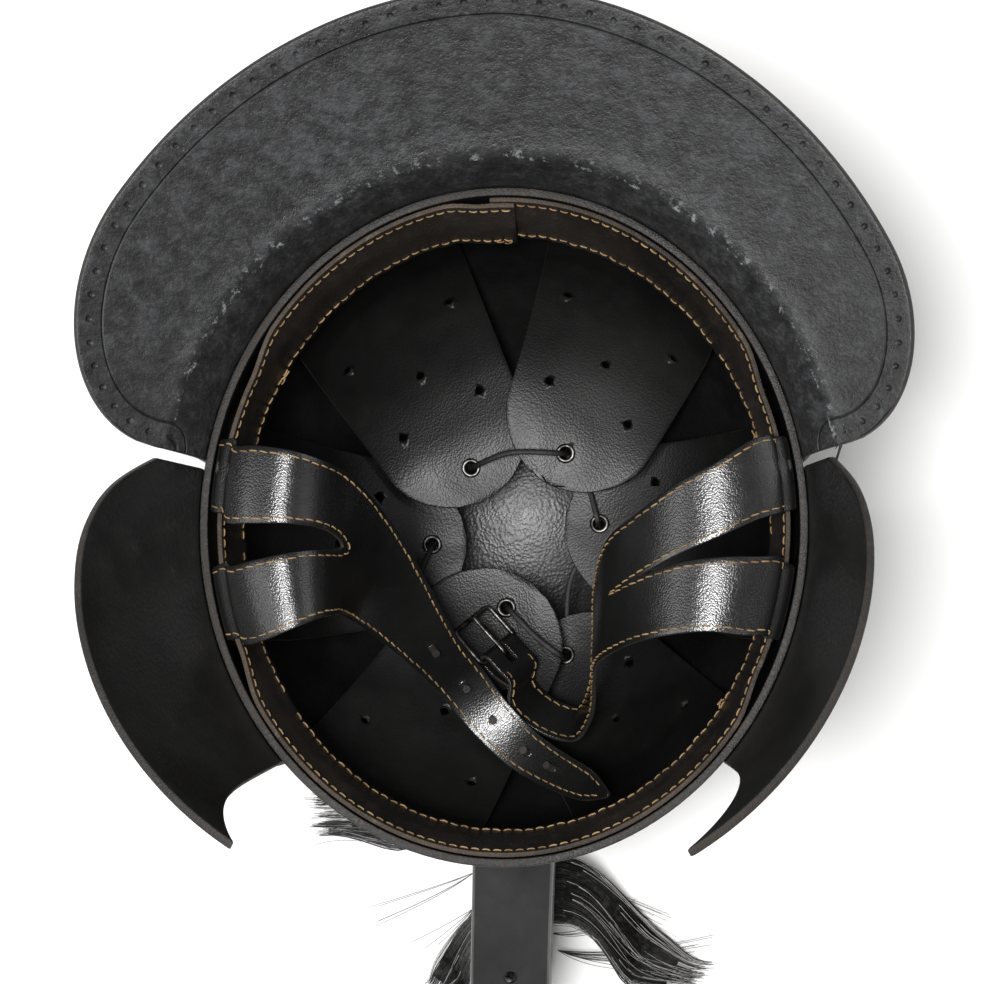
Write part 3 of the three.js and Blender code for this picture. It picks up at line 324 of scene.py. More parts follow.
def grid_faces(columns, rows, closed=False):
    """Faces of a grid whose points run row by row within each column."""
    faces = []
    for i in range(columns if closed else columns - 1):
        after = (i + 1) % columns
        faces += [
            (i * rows + j, after * rows + j, after * rows + j + 1, i * rows + j + 1) for j in range(rows - 1)
        ]
    return faces


turns = np.linspace(0, 2 * math.pi, 145)[:-1]
falls = np.linspace(0, 1, 45) ** 1.15 * (math.pi / 2)
heights = -(BOWL_DEPTH - BOWL_WALL / 2) * np.sin(falls) ** (2 / BOWL_FULLNESS)
widths = np.cos(falls) ** (2 / BOWL_FULLNESS)
widths[-1] = 0.004
middle = RIM_HALF - BOWL_WALL / 2
shell = np.stack([
    middle[0] * np.cos(turns)[:, None] * widths,
    middle[1] * np.sin(turns)[:, None] * widths,
    np.broadcast_to(heights, (len(turns), len(heights))),
], -1)
points = shell.reshape(-1, 3)
faces = grid_faces(*shell.shape[:2], closed=True)
faces.append([i * len(heights) + len(heights) - 1 for i in range(len(turns))])
bowl_inside = leather(
    "bowl_inside", (0.0035, 0.0035, 0.0035), (0.009, 0.0088, 0.0085), 700, 1.0, 0.3, (0.24, 0.44), 0.04,
    specular_ior_level=0.3,
)
bowl = object_of("skull_bowl_leather", points, faces, (bowl_inside, cut_edge, black_leather))
settle(bowl, *thicken(BOWL_WALL, edge_slot=1, back_slot=2, bevel=0.5))
put_on(bowl, "root", "black_leather", "skull_bowl")


# Neck guard: a wide plate wetted and bent to a brim, riveted over the back of the bowl.
# The side that shows is the dyed flesh side of the hide: mottled, dull and brushed, with a
# scribed border line, a row of tooled dots outside it, and pale fuzz where the bend cracked it.
NECK_THICKNESS = 3
NECK_LAP = 27
NECK_BEND_HEIGHT = 20
NECK_FLARE_SIDE = 10
NECK_FLARE_BACK = 5.5
NECK_BRIM_REACH = 51
NECK_BRIM_SLOPE = 35
NECK_END_ANGLE = 11
NECK_END_REACH = 0.06
NECK_END_CROWDING = 0.4
NECK_END_TURNS = 22, 28
NECK_NARROWINGS = 0.3, 0.14
NECK_SKIRT_SHARE = 3 / 7
CLEARANCE = 0.3


def neck_surface(u, v):
    """The neck guard's middle: u from end to end, v from the skirt's edge to the brim's."""
    skirt = NECK_SKIRT_SHARE
    crowding = math.pi * NECK_END_CROWDING
    swing = np.sin(crowding * (1 - 2 * u)) / math.sin(crowding)
    degrees = 90 - (90 - NECK_END_ANGLE) * swing
    angle = np.radians(degrees)
    flare = NECK_FLARE_BACK + (NECK_FLARE_SIDE - NECK_FLARE_BACK) * np.cos(angle) ** 2
    rise = np.clip(v / skirt, 0, 1)
    low = -NECK_LAP + (NECK_BEND_HEIGHT + NECK_LAP) * rise
    part = np.clip((v - skirt) / (1 - skirt), 0, 1)
    from_end = np.minimum(degrees, 180 - degrees) - NECK_END_ANGLE
    turn, narrowing = (np.where(degrees < 90, *pair) for pair in (NECK_END_TURNS, NECK_NARROWINGS))
    reach = NECK_BRIM_REACH * (1 - narrowing * np.abs(np.cos(angle)) ** 1.5)
    round_off = np.sqrt(1 - (1 - np.clip(from_end / turn, 0, 1)) ** 2)
    out = reach * (NECK_END_REACH + (1 - NECK_END_REACH) * round_off) * part
    soft = 4 * np.exp(-((v - skirt) / 0.06) ** 2) * round_off
    height = low + out * math.tan(math.radians(NECK_BRIM_SLOPE)) + 0.25 * soft
    seat = CLEARANCE + NECK_THICKNESS / 2
    flared = flare * (np.clip(low, 0, None) / NECK_BEND_HEIGHT) ** 1.5
    return bowl_point(angle, height * (v > skirt) + low * (v <= skirt), 0, seat + flared + out)


def run_of(path):
    """How far along a path each of its points is."""
    return np.concatenate([[0], np.cumsum(np.linalg.norm(np.diff(path, axis=0), axis=1))])


def from_border(points, border):
    """For each point, how far along a border its nearest place is, and how far away that is."""
    gaps = np.linalg.norm(points[:, None, :] - border[None, :, :], axis=-1)
    nearest = gaps.argmin(1)
    return np.stack([run_of(border)[nearest], gaps.min(1)], -1)


columns, rows = 200, 46
u, v = np.meshgrid(np.linspace(0, 1, columns), np.linspace(0, 1, rows), indexing="ij")
points = neck_surface(u, v).reshape(-1, 3)
fine = np.linspace(0, 1, 900)
rising = np.linspace(0.46, 1, 60)
border = np.concatenate([
    neck_surface(0 * rising, rising)[:-1], neck_surface(fine, 0 * fine + 1),
    neck_surface(0 * rising + 1, rising[::-1])[1:],
])
uvs = from_border(points, border)

line_group, given, out = group_with(
    "border_tooling",
    [("Along And Across", "Vector", None), ("Line At", "Float", 9.5), ("Dot At", "Float", 4.6),
     ("Dot Gap", "Float", 9.0)],
    [("Line", "Float"), ("Dots", "Float")],
)
split = add_node(line_group, "SeparateXYZ", {0: given["Along And Across"]}).outputs
along, across = (worked(line_group, "MULTIPLY", split[axis], 1000.0) for axis in "XY")
aside = worked(line_group, "SUBTRACT", across, given["Line At"])
line = spread(line_group, worked(line_group, "ABSOLUTE", aside), 0.0, 0.6, 1.0, 0.0)
step = worked(line_group, "MODULO", along, given["Dot Gap"])
offset = worked(line_group, "SUBTRACT", step, worked(line_group, "MULTIPLY", given["Dot Gap"], 0.5))
rise = worked(line_group, "SUBTRACT", across, given["Dot At"])
flat = add_node(line_group, "CombineXYZ", {0: offset, 1: rise}).outputs[0]
far = add_node(line_group, "VectorMath", {0: flat}, operation="LENGTH").outputs["Value"]
line_group.links.new(line, out["Line"])
line_group.links.new(spread(line_group, far, 0.5, 1.3, 1.0, 0.0), out["Dots"])

flesh, tree, shader = finish_material("flesh_side_leather", specular_ior_level=0.42)
where = add_node(tree, "TexCoord").outputs["Object"]
stretch = add_node(tree, "Mapping", {"Vector": where, "Scale": (1.0, 1.25, 1.0)}).outputs[0]
blotch = noise(tree, stretch, 125.0, 5.0, 0.74, 0.2)
mottle = worked(tree, "MULTIPLY_ADD", noise(tree, stretch, 520.0, 3.0, 0.75), 0.55, blotch)
lifted = worked(tree, "MULTIPLY_ADD", noise(tree, where, 9.0), 0.5, mottle)
tone = two_tone(
    tree, spread(tree, lifted, 0.79, 1.28), (0.0, 1.0),
    (0.008, 0.008, 0.0082), (0.046, 0.047, 0.0495), (0.018, 0.0183, 0.019),
)
sheet_place = add_node(tree, "UVMap", uv_map="along_and_across").outputs[0]
tooling = add_node(tree, "Group", {"Along And Across": sheet_place}, node_tree=line_group).outputs
pressed = worked(tree, "MAXIMUM", tooling["Line"], tooling["Dots"])
dark = blend(tree, worked(tree, "MULTIPLY", pressed, 0.45), tone, (0.006, 0.006, 0.006))
bend_place = add_node(tree, "UVMap", uv_map="from_the_bend").outputs[0]
past_bend = add_node(tree, "SeparateXYZ", {0: bend_place}).outputs["Y"]
near_bend = spread(tree, past_bend, 0.0006, 0.0045, 1.0, 0.0)
fuzz = worked(tree, "MULTIPLY", near_bend, worked(tree, "GREATER_THAN", past_bend, -0.0006))
frayed = spread(tree, noise(tree, where, 210.0, 5.0, 0.8), 0.545, 0.64, 0.0, 0.85)
fluffy = blend(tree, worked(tree, "MULTIPLY", fuzz, frayed), dark, (0.26, 0.265, 0.27))
dull = spread(tree, blotch, 0.3, 0.7, 0.36, 0.58)
dress(tree, shader, fluffy, dull, worked(tree, "MULTIPLY_ADD", pressed, -1.1, mottle), 0.75, 0.0008)

faces = grid_faces(columns, rows)
neck = object_of("neck_guard_leather", points, faces, (black_leather, cut_edge, flesh), uvs)
bend = neck.data.uv_layers.new(name="from_the_bend")
corners = np.empty(len(neck.data.loops), np.int32)
neck.data.loops.foreach_get("vertex_index", corners)
brim_width = NECK_BRIM_REACH / math.cos(math.radians(NECK_BRIM_SLOPE))
brim_share = (v.ravel() - NECK_SKIRT_SHARE) / (1 - NECK_SKIRT_SHARE)
from_bend = np.stack([u.ravel(), brim_share * brim_width / 1000], -1)
bend.data.foreach_set("uv", from_bend[corners].astype(np.float32).ravel())
settle(neck, *thicken(NECK_THICKNESS, edge_slot=1, back_slot=2, bevel=0.6))
put_on(neck, "root", "flesh_leather", "neck_guard")


# Cheek guards: two plates cut from the same hide, riveted to the sides and shaped by hand, so the
# left flares more than the right. Both faces are smooth and black, with burnished edges.
CHEEK_THICKNESS = 3
CHEEK_LAP = 27
CHEEK_LENGTH = 115
CHEEK_EDGE_ALONG = (0.0, 0.1, 0.2, 0.35, 0.5, 0.65, 0.8, 0.9, 1.0)
CHEEK_EDGE_HEIGHT = (0.16, 0.33, 0.45, 0.58, 0.69, 0.79, 0.88, 0.94, 1.0)
CHEEK_BACK_ANGLE, CHEEK_FRONT_ANGLE, CHEEK_SKIRT_SHARE = 170.5, 224, 0.25
cheek_leather = leather(
    "cheek_leather", (0.0055, 0.0052, 0.005), (0.0115, 0.0105, 0.0095), 900, 0.35, 0.22, (0.34, 0.46), 0.12,
    specular_ior_level=0.4,
)


def smooth_read(share, at, values):
    """Reads a short table along a smooth curve through its rows."""
    at, values = np.array(at, float), np.array(values, float)
    slopes = np.gradient(values, at)
    share = np.clip(share, at[0], at[-1])
    i = np.clip(np.searchsorted(at, share, side="right") - 1, 0, len(at) - 2)
    gap = at[i + 1] - at[i]
    t = (share - at[i]) / gap
    return (
        (2 * t ** 3 - 3 * t ** 2 + 1) * values[i] + (t ** 3 - 2 * t ** 2 + t) * gap * slopes[i]
        + (3 * t ** 2 - 2 * t ** 3) * values[i + 1] + (t ** 3 - t ** 2) * gap * slopes[i + 1]
    )


for name, mirror, flare_back, flare_tip, sweep in (
    ("cheek_guard_left", 1, 53, 15, 8),
    ("cheek_guard_right", -1, 27, 7, 14),
):
    columns, rows = 64, 60
    u, v = np.meshgrid(np.linspace(0, 1, columns), np.linspace(0, 1, rows), indexing="ij")
    edge = CHEEK_LENGTH * smooth_read(u, CHEEK_EDGE_ALONG, CHEEK_EDGE_HEIGHT)
    skirt = CHEEK_SKIRT_SHARE
    height = np.where(v <= skirt, -CHEEK_LAP * (1 - v / skirt), edge * (v - skirt) / (1 - skirt))
    rise = np.clip(height, 0, None) / CHEEK_LENGTH
    front = CHEEK_FRONT_ANGLE + sweep * rise ** 4
    angle = np.radians(CHEEK_BACK_ANGLE + (front - CHEEK_BACK_ANGLE) * u)
    flare = (flare_back + (flare_tip - flare_back) * u) * (1 - (1 - rise) ** 1.6)
    points = bowl_point(angle, height, 0, CLEARANCE + CHEEK_THICKNESS / 2 + flare).reshape(-1, 3)
    points[:, 0] *= mirror
    faces = [face[::-mirror] for face in grid_faces(columns, rows)]
    cheek = object_of(name + "_leather", points, faces, (black_leather, cut_edge, cheek_leather))
    settle(cheek, *thicken(CHEEK_THICKNESS, edge_slot=1, back_slot=2, bevel=0.6))
    put_on(cheek, "root", "black_leather", name)


# Rivets: tubular rivets with domed, blackened heads, set through guard and bowl with a small
# washer inside, behind the sweatband.
steel, tree, shader = finish_material("blackened_steel", metallic=1.0)
marks = noise(tree, add_node(tree, "TexCoord").outputs["Object"], 900.0, 3.0, 0.7)
tone = two_tone(tree, marks, (0.4, 0.7), (0.02, 0.02, 0.02), (0.11, 0.105, 0.1))
dress(tree, shader, tone, spread(tree, marks, 0.0, 1.0, 0.25, 0.6), marks, 0.25, 0.0002)


def turned(name, outline, place, axis, material, sides=32, ends=True):
    """A turned piece: an outline of (radius, height) pairs round an axis at a place."""
    angles = np.linspace(0, 2 * math.pi, sides, endpoint=False)
    frame_of = np.array(Vector(axis).to_track_quat("Z", "Y").to_matrix())
    points = [
        frame_of @ np.array([r * math.cos(a), r * math.sin(a), h]) + place
        for a in angles for r, h in outline
    ]
    rows = len(outline)
    faces = grid_faces(sides, rows, closed=True)
    if ends:
        faces += [[i * rows for i in range(sides)][::-1], [i * rows + rows - 1 for i in range(sides)]]
    else:
        faces += [
            (i * rows + rows - 1, (i + 1) % sides * rows + rows - 1, (i + 1) % sides * rows, i * rows)
            for i in range(sides)
        ]
    piece = object_of(name, points, faces, (material,))
    turned_mesh = bmesh.new()
    turned_mesh.from_mesh(piece.data)
    bmesh.ops.recalc_face_normals(turned_mesh, faces=turned_mesh.faces)
    turned_mesh.to_mesh(piece.data)
    turned_mesh.free()
    return piece


def dome(radius, base, top, steps=7):
    """The outline of a domed head, from its rim to its middle."""
    angles = np.linspace(0, math.pi / 2, steps)
    return [(max(0.05, radius * math.cos(a)), base + (top - base) * math.sin(a)) for a in angles]


RIVET_SHANK, RIVET_HEAD, RIVET_SEAT, RIVET_HEIGHT = 1.6, 4.5, 0.9, -19
WASHER_RADIUS, WASHER_THICKNESS, WASHER_ROUNDING = 2.6, 0.8, 0.3
rivet_angles = [(f"neck_rivet_{i + 1}", angle) for i, angle in enumerate((25, 57, 90, 123, 155))]
for i, angle in enumerate((176, 197, 217)):
    rivet_angles += [(f"cheek_rivet_left_{i + 1}", angle), (f"cheek_rivet_right_{i + 1}", 180 - angle)]
for name, angle in rivet_angles:
    place = bowl_point(math.radians(angle), RIVET_HEIGHT, 0, 0)
    axis = bowl_point(math.radians(angle), RIVET_HEIGHT, 0, 1) - place
    outside = CLEARANCE + NECK_THICKNESS + RIVET_SEAT
    inside = -(BOWL_WALL + RIVET_SEAT)
    outline = [
        (0.05, inside - WASHER_THICKNESS), (WASHER_RADIUS - WASHER_ROUNDING, inside - WASHER_THICKNESS),
        (WASHER_RADIUS, inside - WASHER_THICKNESS / 2), (WASHER_RADIUS, inside), (RIVET_SHANK, inside),
        (RIVET_SHANK, outside), (RIVET_HEAD - 0.2, outside),
    ] + dome(RIVET_HEAD, outside + 0.25, outside + 1.6)
    rivet = turned(name + "_steel", outline, place, axis, steel, 28)
    put_on(rivet, "root", "dark_steel", name)


# Sweatband: a strip of brown leather dyed black, sewn into a ring inside the rim with two rows of
# tan thread, its left end lapped over its right at the back. Its cut edges stay brown.
BAND_THICKNESS, BAND_HEIGHT, BAND_DROP, BAND_LAP_ANGLE = 1.8, 33, 1, 5
BAND_GAP, BAND_LEAN = 2.6 + 2 * CLEARANCE, 2.2
WALL_EASE = CLEARANCE + 0.5
THREAD_THICKNESS = 0.3

band_leather = leather(
    "band_leather", (0.0075, 0.006, 0.005), (0.022, 0.0165, 0.013), 800, 0.8, 0.5, (0.38, 0.6), 0.35
)
raw_edge = leather(
    "raw_brown_edge", (0.022, 0.015, 0.010), (0.075, 0.055, 0.038), 2200, 1.0, 0.8, (0.6, 0.85), 0.5
)


def smooth_step(x, start, end):
    """Goes smoothly from 0 at the start to 1 at the end."""
    t = np.clip((np.asarray(x, float) - start) / (end - start), 0, 1)
    return t * t * (3 - 2 * t)


def band_surface(past, v, inward=0.0):
    """The sweatband's middle: degrees past its first end, and from its top (0) to its bottom (1)."""
    past = np.asarray(past, float)
    lift = 1 - smooth_step(past, BAND_LAP_ANGLE + 1.5, BAND_LAP_ANGLE + 9.5)
    angle = np.radians(90 - BAND_LAP_ANGLE / 2 + past)
    from_strap = np.abs((np.degrees(angle) + 92) % 180 - 90)
    shut = smooth_step(from_strap, 25, 36) * (1 - smooth_step(v, 0.0, 0.5)) * (BAND_GAP - 0.4)
    inside = BAND_GAP - shut + BAND_THICKNESS / 2 + lift * (BAND_THICKNESS + CLEARANCE) + inward
    ripple = 0.35 * np.sin(past * 0.9) * v + 0.25 * np.sin(past * 0.37 + 2) * v
    height = -BAND_DROP - BAND_HEIGHT * v + 0 * past
    return bowl_point(angle, height, BOWL_WALL, -(inside + BAND_LEAN * v + np.abs(ripple)))


columns, rows = 366, 12
past, v = np.meshgrid(np.linspace(0, 360 + BAND_LAP_ANGLE, columns), np.linspace(0, 1, rows), indexing="ij")
points = band_surface(past, v).reshape(-1, 3)
band = object_of("sweatband_leather", points, grid_faces(columns, rows), (band_leather, raw_edge))
settle(band, *thicken(BAND_THICKNESS, bevel=0.35))
put_on(band, "root", "band_leather", "sweatband")

thread, tree, shader = finish_material("tan_thread", roughness=0.7, specular_ior_level=0.3)
where = add_node(tree, "TexCoord").outputs["Object"]
tone = two_tone(tree, noise(tree, where, 120.0, 3.0), (0.35, 0.65), (0.13, 0.08, 0.036), (0.31, 0.205, 0.1))
dress(tree, shader, tone, None, noise(tree, where, 2600.0, 1.0), 0.5, 0.0002)


def sleeve_faces(count, sides, outward=True, closed=False):
    """Faces round a tube of rings, and over both ends where it doesn't close on itself."""
    faces = []
    for i in range(count if closed else count - 1):
        here, after = i * sides, (i + 1) % count * sides
        for j in range(sides):
            k = (j + 1) % sides
            if outward:
                faces.append((here + j, here + k, after + k, after + j))
            else:
                faces.append((here + j, after + j, after + k, here + k))
    if not closed:
        first, last = tuple(range(sides)), tuple(range((count - 1) * sides, count * sides))
        faces += [first[::-1], last] if outward else [first, last[::-1]]
    return faces


def tube_points(path, radius, sides=6, up=None):
    """Rings of points round a path, and faces, for one short thread with closed ends."""
    path = np.asarray(path, float)
    along = unit(np.gradient(path, axis=0))
    up = np.array([0.3, 0.2, 1.0]) if up is None else np.asarray(up, float)
    across = np.cross(along, up)
    across /= np.linalg.norm(across, axis=1)[:, None] + 1e-9
    third = np.cross(across, along)
    angles = np.linspace(0, 2 * math.pi, sides, endpoint=False)
    radius = np.broadcast_to(radius, len(path))
    round_it = np.cos(angles)[:, None] * across[:, None] + np.sin(angles)[:, None] * third[:, None]
    rings = path[:, None] + radius[:, None, None] * round_it
    return rings.reshape(-1, 3), sleeve_faces(len(path), sides)


def gather(parts):
    """Joins lists of points and faces into one."""
    points, faces, start = [], [], 0
    for part_points, part_faces in parts:
        points.append(part_points)
        faces += [tuple(start + i for i in face) for face in part_faces]
        start += len(part_points)
    return np.concatenate(points), faces


def along_path(path, run, at):
    """Reads a path, or what belongs to its points, at distances along it."""
    return np.stack([np.interp(at, run, path[:, k]) for k in range(3)], -1)


def sewn_row(path, normals, rng, pitch=4.0, length=3.4, radius=THREAD_THICKNESS, skips=()):
    """A row of stitches that lie on a surface, each dipping into its holes at both ends."""
    run = run_of(path)
    parts = []
    for i in range(int(run[-1] // pitch)):
        start = i * pitch + 0.4
        if any(a < start < b for a, b in skips):
            continue
        at = np.linspace(start, start + length, 6)
        spine = along_path(path, run, at)
        out_of = along_path(normals, run, at)
        across = unit(np.cross(np.gradient(spine, axis=0), out_of))
        rise = np.array([-0.4, 0.2, 0.3, 0.3, 0.2, -0.4])
        slant = np.linspace(-1, 1, 6) * (0.16 + 0.05 * rng.standard_normal())
        spine = spine + out_of * rise[:, None] + across * (slant + 0.08 * rng.standard_normal())[:, None]
        thick = radius * (1 + 0.1 * rng.standard_normal()) * np.array([0.8, 1, 1, 1, 1, 0.8])
        parts.append(tube_points(spine, thick, 6, out_of[2]))
    return parts


rng = np.random.default_rng(11)
past = np.linspace(0.6, 360 + BAND_LAP_ANGLE - 0.6, 900)
parts = []
for v, skips in ((0.09, ()), (0.88, ((232, 240), (486, 494), (566, 572), (170, 175)))):
    path = band_surface(past, v, BAND_THICKNESS / 2)
    normals = band_surface(past, v, 1.0) - band_surface(past, v, 0.0)
    parts += sewn_row(path, normals, rng, skips=skips)
# Ends of thread that have come loose, at the lap and where the lower row has broken.
for degrees, v, reach, drift in (
    (1.0, 0.9, 5.0, 2.5), (4.6, 0.88, 6.5, -3.0), (61, 0.9, 4.5, 3.5), (62, 0.86, 3.5, -4),
    (112, 0.9, 5, -3.5), (236, 0.88, 5.5, 3.2), (238, 0.9, 4.0, -3), (290, 0.88, 4.5, 3.0),
    (291, 0.9, 3.5, -2.6),
):
    start = band_surface(degrees, v, BAND_THICKNESS / 2)
    inward = band_surface(degrees, v, 1.0) - band_surface(degrees, v, 0.0)
    sideways = unit(band_surface(degrees + 1, v) - band_surface(degrees, v))
    t = np.linspace(0, 1, 7)[:, None]
    curl = start + inward * (0.3 + 2.4 * t - 1.2 * t ** 2) + sideways * drift * t
    curl[:, 2:] += 0.6 * reach * t ** 1.5
    parts.append(tube_points(curl, 0.38 * np.linspace(1, 0.7, 7), 6))
points, faces = gather(parts)
band_thread = object_of("sweatband_thread", points, faces, (thread,))
put_on(band_thread, "root", "band_leather")


# Liner: six soft tongues of thin leather, held behind the sweatband, punched, and drawn together
# under the crown. Each has a metal eyelet near its round tip.
PETAL_THICKNESS, PETAL_TAB, PETAL_TAB_DROP, PETAL_BASE_ANGLE = 1.6, 10, 25, 42
PETAL_TIP_RADIUS, PETAL_TIP_BEYOND, PETAL_HOLE, BOWL_ROOM = 28, 14, 1.7, 1.2
PETALS = (
    (0, 0.312, 0.064, 0.735), (60, 0.188, 0.292, 0.69), (122, -0.162, 0.249, 0.72),
    (180, -0.31, 0.0, 0.765), (242.5, -0.03, -0.214, 0.69), (305.5, 0.183, -0.366, 0.785),
)
PETAL_HOLES = ((0.2, -0.66), (0.2, 0.66), (0.4, 0.0), (0.57, -0.55), (0.57, 0.55))
liner_leather = leather(
    "liner_leather", (0.003, 0.0029, 0.0028), (0.0075, 0.0071, 0.0068), 1100, 0.7, 0.22, (0.34, 0.46), 0.06,
    specular_ior_level=0.27,
)


def petal_surface(petal, tab_share=0.12):
    """A petal's surface from its tab (v = 0) round to its tip (v = 1), and its size in plan."""
    base_angle, eye_x, eye_y, depth = petal
    inward = WALL_EASE + PETAL_THICKNESS / 2
    low = -(PETAL_TAB_DROP + PETAL_TAB)
    middle = bowl_point(math.radians(base_angle), low, BOWL_WALL, -inward)
    eyelet = np.array([eye_x * RIM_HALF[0], eye_y * RIM_HALF[1], low])
    along = eyelet - middle
    length = np.linalg.norm(along) + PETAL_TIP_BEYOND
    along = unit(along)
    across = np.array([-along[1], along[0], 0])
    eyelet_share = 1 - PETAL_TIP_BEYOND / length
    drop = (depth * BOWL_DEPTH + low) / math.sqrt(1 - (1 - eyelet_share) ** 2)
    round_part = PETAL_TIP_RADIUS / length

    def surface(u, v):
        u, v = np.broadcast_arrays(np.asarray(u, float), np.asarray(v, float))
        beside = 1 - 2 * u
        angle = np.radians(base_angle - beside * PETAL_BASE_ANGLE / 2)
        quarter = np.clip((v - tab_share) / (1 - tab_share), 0, 1) * math.pi / 2
        share = 1 - np.cos(quarter)
        tip = np.clip((share - (1 - round_part)) / round_part, 0, 1)
        narrow = np.sqrt(1 - 0.985 * tip ** 2)
        at_base = bowl_point(angle, low, BOWL_WALL, -inward) - middle
        at_tip = across * (beside * PETAL_TIP_RADIUS)[..., None]
        point = middle + along * (length * share)[..., None]
        point = point + (at_base * (1 - share)[..., None] + at_tip * share[..., None]) * narrow[..., None]
        point[..., 2] = low - drop * np.sin(quarter)
        wall = bowl_share(point[..., 2], BOWL_WALL)
        reach = np.hypot(
            point[..., 0] / ((RIM_HALF[0] - BOWL_WALL) * wall - inward - BOWL_ROOM),
            point[..., 1] / ((RIM_HALF[1] - BOWL_WALL) * wall - inward - BOWL_ROOM),
        )
        point[..., :2] /= np.maximum(reach, 1)[..., None]
        tab = bowl_point(angle, -PETAL_TAB_DROP - PETAL_TAB * v / tab_share, BOWL_WALL, -inward)
        return np.where((v <= tab_share)[..., None], tab, point)

    def row_of(share):
        return tab_share + (1 - tab_share) * math.acos(1 - share) / (math.pi / 2)

    return surface, row_of, row_of(eyelet_share)


def frame_at(surface, u, v, step=1e-3):
    """Points of a surface and its unit normals."""
    along = surface(u + step, v) - surface(u - step, v)
    across = surface(u, v + step) - surface(u, v - step)
    return surface(u, v), unit(np.cross(along, across))


def cut_away(piece, points, faces):
    """Cuts a closed form out of a piece."""
    cutter = object_of("punch", points, faces, (cut_edge,), smooth=False)
    bpy.context.scene.collection.objects.link(cutter)
    settle(piece, ("BOOLEAN", {"object": cutter, "operation": "DIFFERENCE", "solver": "EXACT",
                               "material_mode": "TRANSFER"}))
    bpy.data.objects.remove(cutter)


def punch(piece, holes):
    """Cuts round holes, given as places, directions and radii in millimetres."""
    parts = []
    for place, normal, radius in holes:
        toward = np.array(Vector(normal).to_track_quat("Z", "Y").to_matrix())
        angles = np.linspace(0, 2 * math.pi, 20, endpoint=False)
        ring = np.stack([radius * np.cos(angles), radius * np.sin(angles)], -1)
        ends = [np.concatenate([ring, np.full((20, 1), h)], 1) @ toward.T + place for h in (-5, 5)]
        faces = [(j, (j + 1) % 20, 20 + (j + 1) % 20, 20 + j) for j in range(20)]
        parts.append((np.concatenate(ends), faces + [tuple(range(20))[::-1], tuple(range(20, 40))]))
    cut_away(piece, *gather(parts))


nickel, tree, shader = finish_material("worn_nickel", metallic=1.0)
where = add_node(tree, "TexCoord").outputs["Object"]
marks = noise(tree, where, 1300.0, 3.0, 0.7)
worn = noise(tree, where, 260.0, 3.0)
tone = two_tone(tree, worn, (0.4, 0.62), (0.03, 0.028, 0.026), (0.17, 0.165, 0.155))
dress(tree, shader, tone, spread(tree, marks, 0.0, 1.0, 0.24, 0.55), marks, 0.15, 0.0001)

EYELET_RADIUS, EYELET_BORE, EYELET_BARREL, EYELET_FLANGE, EYELET_SEAT = 4, 2.2, 2.8, 0.6, 0.5
eyelets = []
for i, petal in enumerate(PETALS):
    surface, row_of, eyelet_row = petal_surface(petal)
    columns, rows = 33, 64
    u, v = np.meshgrid(np.linspace(0, 1, columns), np.linspace(0, 1, rows), indexing="ij")
    points = surface(u, v).reshape(-1, 3)
    sag = slow_noise(points, 26, 40 + i) * 0.8 * np.clip(v.ravel() * 2 - 0.4, 0, 1)
    near_row = np.clip(1 - np.abs(v.ravel() - eyelet_row) * 8, 0, 1)
    points[:, 2] += sag * (1 - near_row * np.clip(1 - np.abs(u.ravel() - 0.5) * 4, 0, 1))
    petal_piece = object_of(
        f"liner_petal_{i + 1}_leather", points, grid_faces(columns, rows), (liner_leather, cut_edge)
    )
    settle(petal_piece, *thicken(PETAL_THICKNESS))
    holes = [
        (*frame_at(surface, (1 + across) / 2, row_of(along)), PETAL_HOLE) for along, across in PETAL_HOLES
    ]
    place, normal = frame_at(surface, 0.5, eyelet_row)
    punch(petal_piece, holes + [(place, normal, EYELET_BARREL + 0.15)])
    put_on(petal_piece, "root", "liner_leather", f"liner_petal_{i + 1}")

    normal = normal if normal[2] > 0 else -normal
    eyelets.append((place, normal))
    face = PETAL_THICKNESS / 2 + 0.05
    rolled = [
        (EYELET_BORE + 0.85 + 0.85 * math.cos(a), face + 0.25 + 0.75 * math.sin(a))
        for a in np.linspace(math.pi, 0, 9)
    ]
    outline = rolled + [
        (EYELET_RADIUS, face), (EYELET_BARREL, face), (EYELET_BARREL, -face), (EYELET_RADIUS - 0.2, -face),
        (EYELET_RADIUS - 0.2, -face - 0.5), (EYELET_BORE, -face - 0.5),
    ]
    eyelet = turned(f"petal_eyelet_{i + 1}_metal", outline, place, normal, nickel, 36, ends=False)
    put_on(eyelet, "root", "nickel", f"petal_eyelet_{i + 1}")


# Draw lace: a flat lace of the liner's leather, threaded through the six eyelets and pulled in.
# Its ends are out of sight between the petals and the bowl.
LACE_WIDTH, LACE_THICKNESS = 2.2, 1.0
LACE_ROUTE = (
    (-0.27, 0.37, -0.745), (2, False), (-0.02, 0.29, -0.655), (1, True), (0.27, 0.18, -0.715), (0, True),
    (0.2, -0.12, -0.8), (5, False), (0.178, -0.376, -0.66), (0.08, -0.31, -0.65), (4, True),
    (-0.2, -0.1, -0.83), (3, False), (-0.36, -0.12, -0.7),
)


